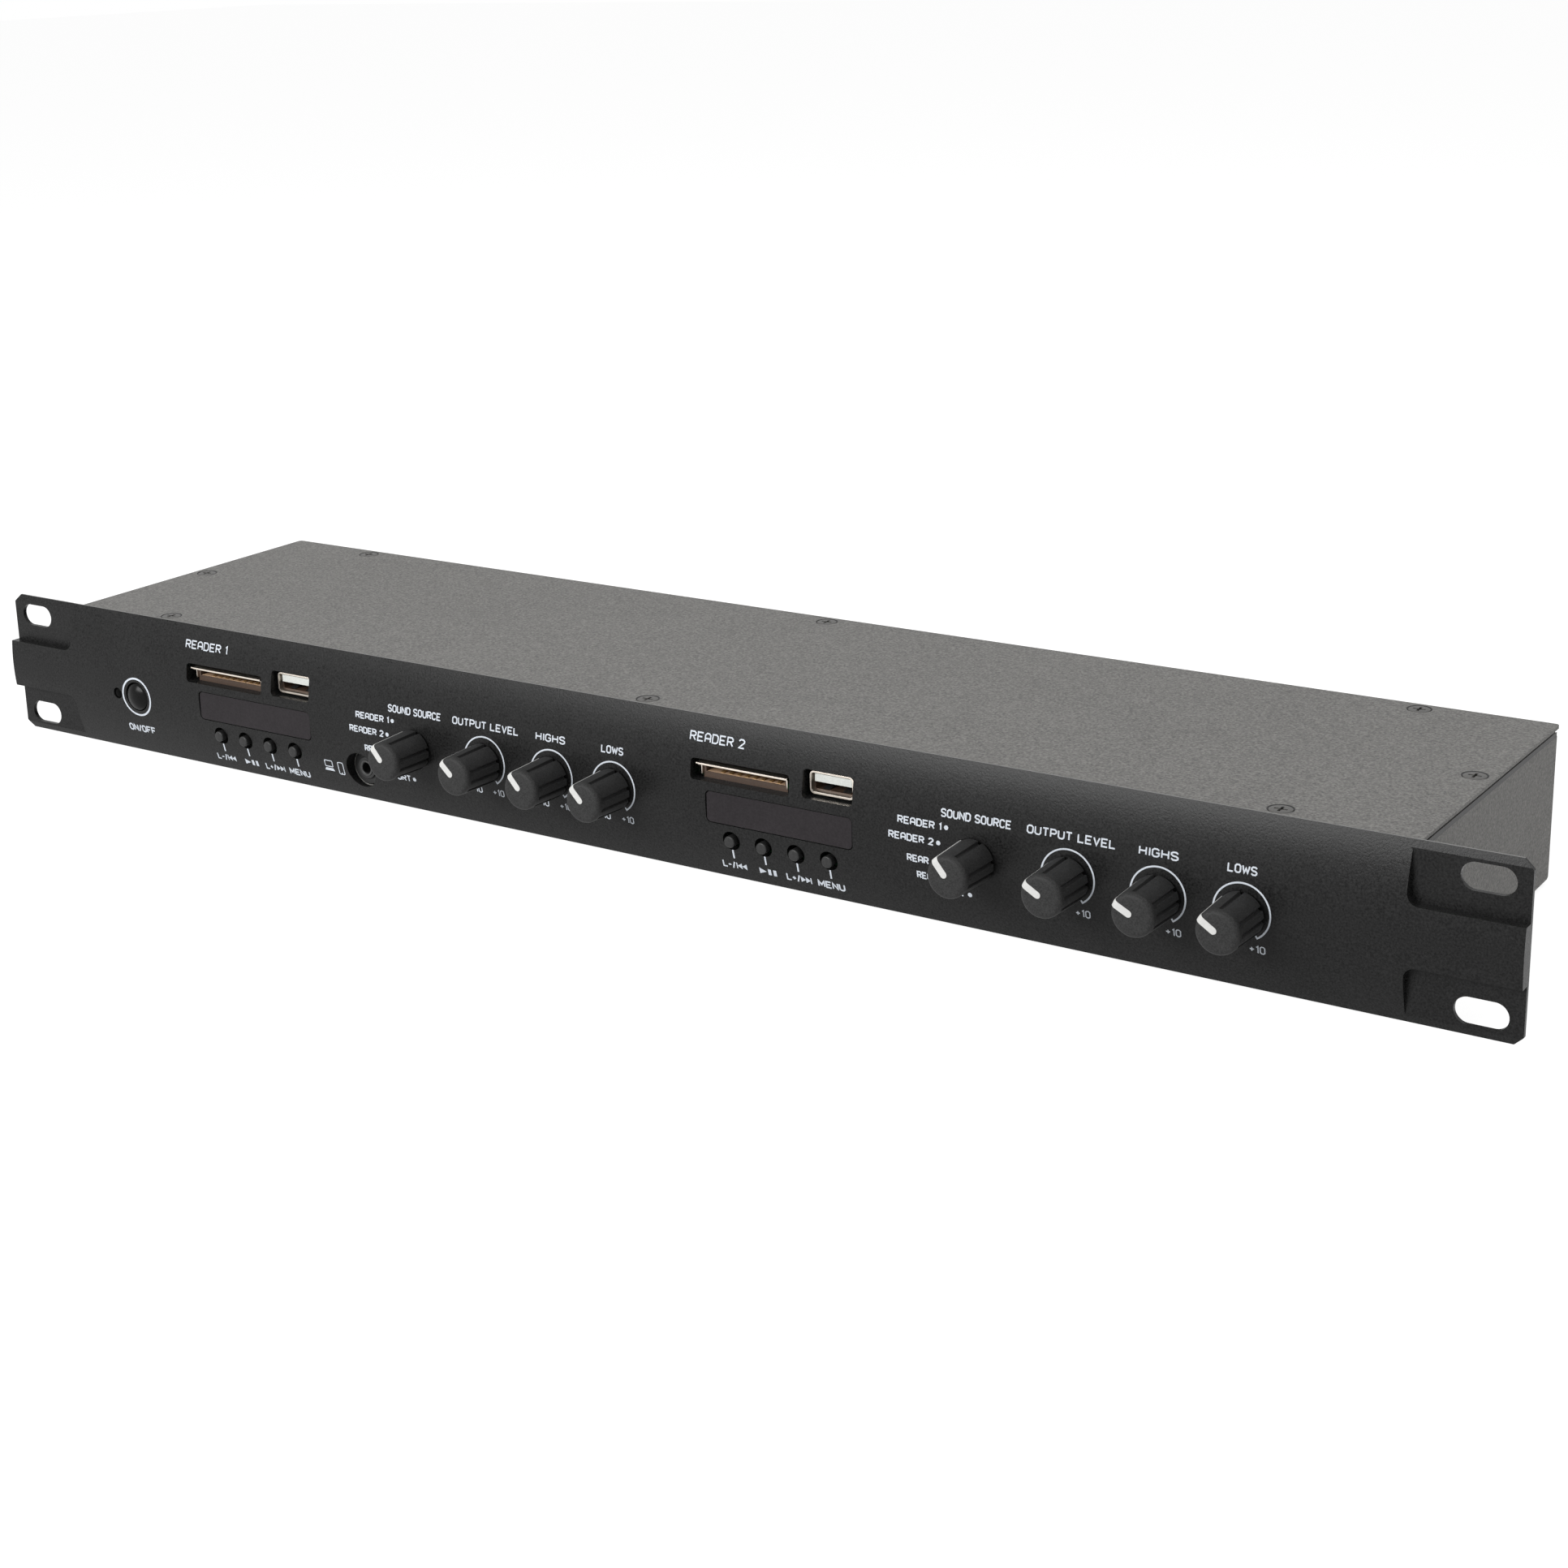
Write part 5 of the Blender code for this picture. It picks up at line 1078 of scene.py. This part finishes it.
# Floor, light and camera
def by_ray(nodes, links, lighting, direct, surface):
    """One shader for the rays that light the object and another for those of camera, mirrors and glass."""
    path = shader_node(nodes, "LightPath")
    seen = path.outputs["Is Camera Ray"]
    for ray in ("Is Glossy Ray", "Is Transmission Ray"):
        both = shader_node(nodes, "Math")
        both.operation = "ADD"
        both.use_clamp = True
        links.new(seen, both.inputs[0])
        links.new(path.outputs[ray], both.inputs[1])
        seen = both.outputs[0]
    either = shader_node(nodes, "MixShader")
    for i, output in enumerate((seen, lighting.outputs[0], direct.outputs[0])):
        links.new(output, either.inputs[i])
    links.new(either.outputs[0], surface)


def white_world():
    """A world that is white where it is seen and plain and weaker where it lights the object."""
    world = bpy.data.worlds.new("studio")
    bpy.context.scene.world = world
    world.use_nodes = True
    nodes, links = world.node_tree.nodes, world.node_tree.links
    plain, white = nodes["Background"], shader_node(nodes, "Background", {"Strength": 1.0})
    plain.inputs["Strength"].default_value = 0.4
    for shader in (plain, white):
        shader.inputs["Color"].default_value = (1, 1, 1, 1)
    by_ray(nodes, links, plain, white, nodes["World Output"].inputs["Surface"])


def floor_finish():
    """A floor that is seen white, with the object's shadow on it, and lights the object as a pale grey."""
    material = bpy.data.materials.new("floor_pale")
    material.use_nodes = True
    nodes, links = material.node_tree.nodes, material.node_tree.links
    nodes.remove(nodes["Principled BSDF"])
    pale = shader_node(nodes, "BsdfDiffuse", {"Color": (0.8, 0.8, 0.8, 1)})
    faint = shader_node(nodes, "BsdfDiffuse", {"Color": (0.34, 0.34, 0.34, 1)})
    glow = shader_node(nodes, "Emission", {"Strength": 0.84})
    both = shader_node(nodes, "AddShader")
    links.new(faint.outputs[0], both.inputs[0])
    links.new(glow.outputs[0], both.inputs[1])
    by_ray(nodes, links, pale, both, nodes["Material Output"].inputs["Surface"])
    return material


def area_light(name, spot, aim, size, power):
    """A soft lamp, as wide and high as size, that faces a point. In metres and watts."""
    data = bpy.data.lights.new(name, "AREA")
    data.shape = "RECTANGLE"
    data.size, data.size_y = size
    data.energy = power
    lamp = new_object(name, data)
    lamp.location = spot
    lamp.rotation_euler = (Vector(aim) - Vector(spot)).to_track_quat("-Z", "Y").to_euler()


FLOOR_DROP = 0.0004
CAMERA_SPOT = (398.96, -525.27, 242.28)
CAMERA_TURN = (34.67, 16.48, -1.64)  # azimuth, elevation and roll in degrees
CAMERA_LENS, CAMERA_SENSOR = 59.71, 36.0
CAMERA_SHIFT = (0.02878, -0.06287)


def photo_camera():
    """The camera that sees the object as the photograph does."""
    azimuth, elevation, roll = map(radians, CAMERA_TURN)
    ahead = Vector((-sin(azimuth) * cos(elevation), cos(azimuth) * cos(elevation), -sin(elevation)))
    right = ahead.cross(Vector((0, 0, 1))).normalized()
    up = right.cross(ahead)
    across, upward = right * cos(roll) + up * sin(roll), up * cos(roll) - right * sin(roll)
    data = bpy.data.cameras.new("photo_camera")
    data.lens, data.sensor_width = CAMERA_LENS, CAMERA_SENSOR
    data.shift_x, data.shift_y = CAMERA_SHIFT
    data.clip_start = 0.01
    camera = new_object("photo_camera", data)
    turn = Matrix((across, upward, -ahead)).transposed().to_4x4()
    camera.matrix_world = Matrix.Translation(place(*CAMERA_SPOT)) @ turn
    return camera


white_world()
floor_mesh = bpy.data.meshes.new("floor")
floor_mesh.from_pydata([(-6, -6, 0), (6, -6, 0), (6, 6, 0), (-6, 6, 0)], [], [[0, 1, 2, 3]])
floor_mesh.materials.append(floor_finish())
floor = new_object("floor", floor_mesh)
floor.location = (0, 0, -FLOOR_DROP)
area_light("key_light", (0.75, 0.0, 1.3), (0, 0, 0), (1.2, 1.2), 6.5)
area_light("front_light", (-0.4, -1.15, 0.6), (0, 0, 0.04), (0.85, 0.47), 17.5)
bpy.context.scene.camera = photo_camera()
bpy.context.scene.view_settings.view_transform = "Standard"
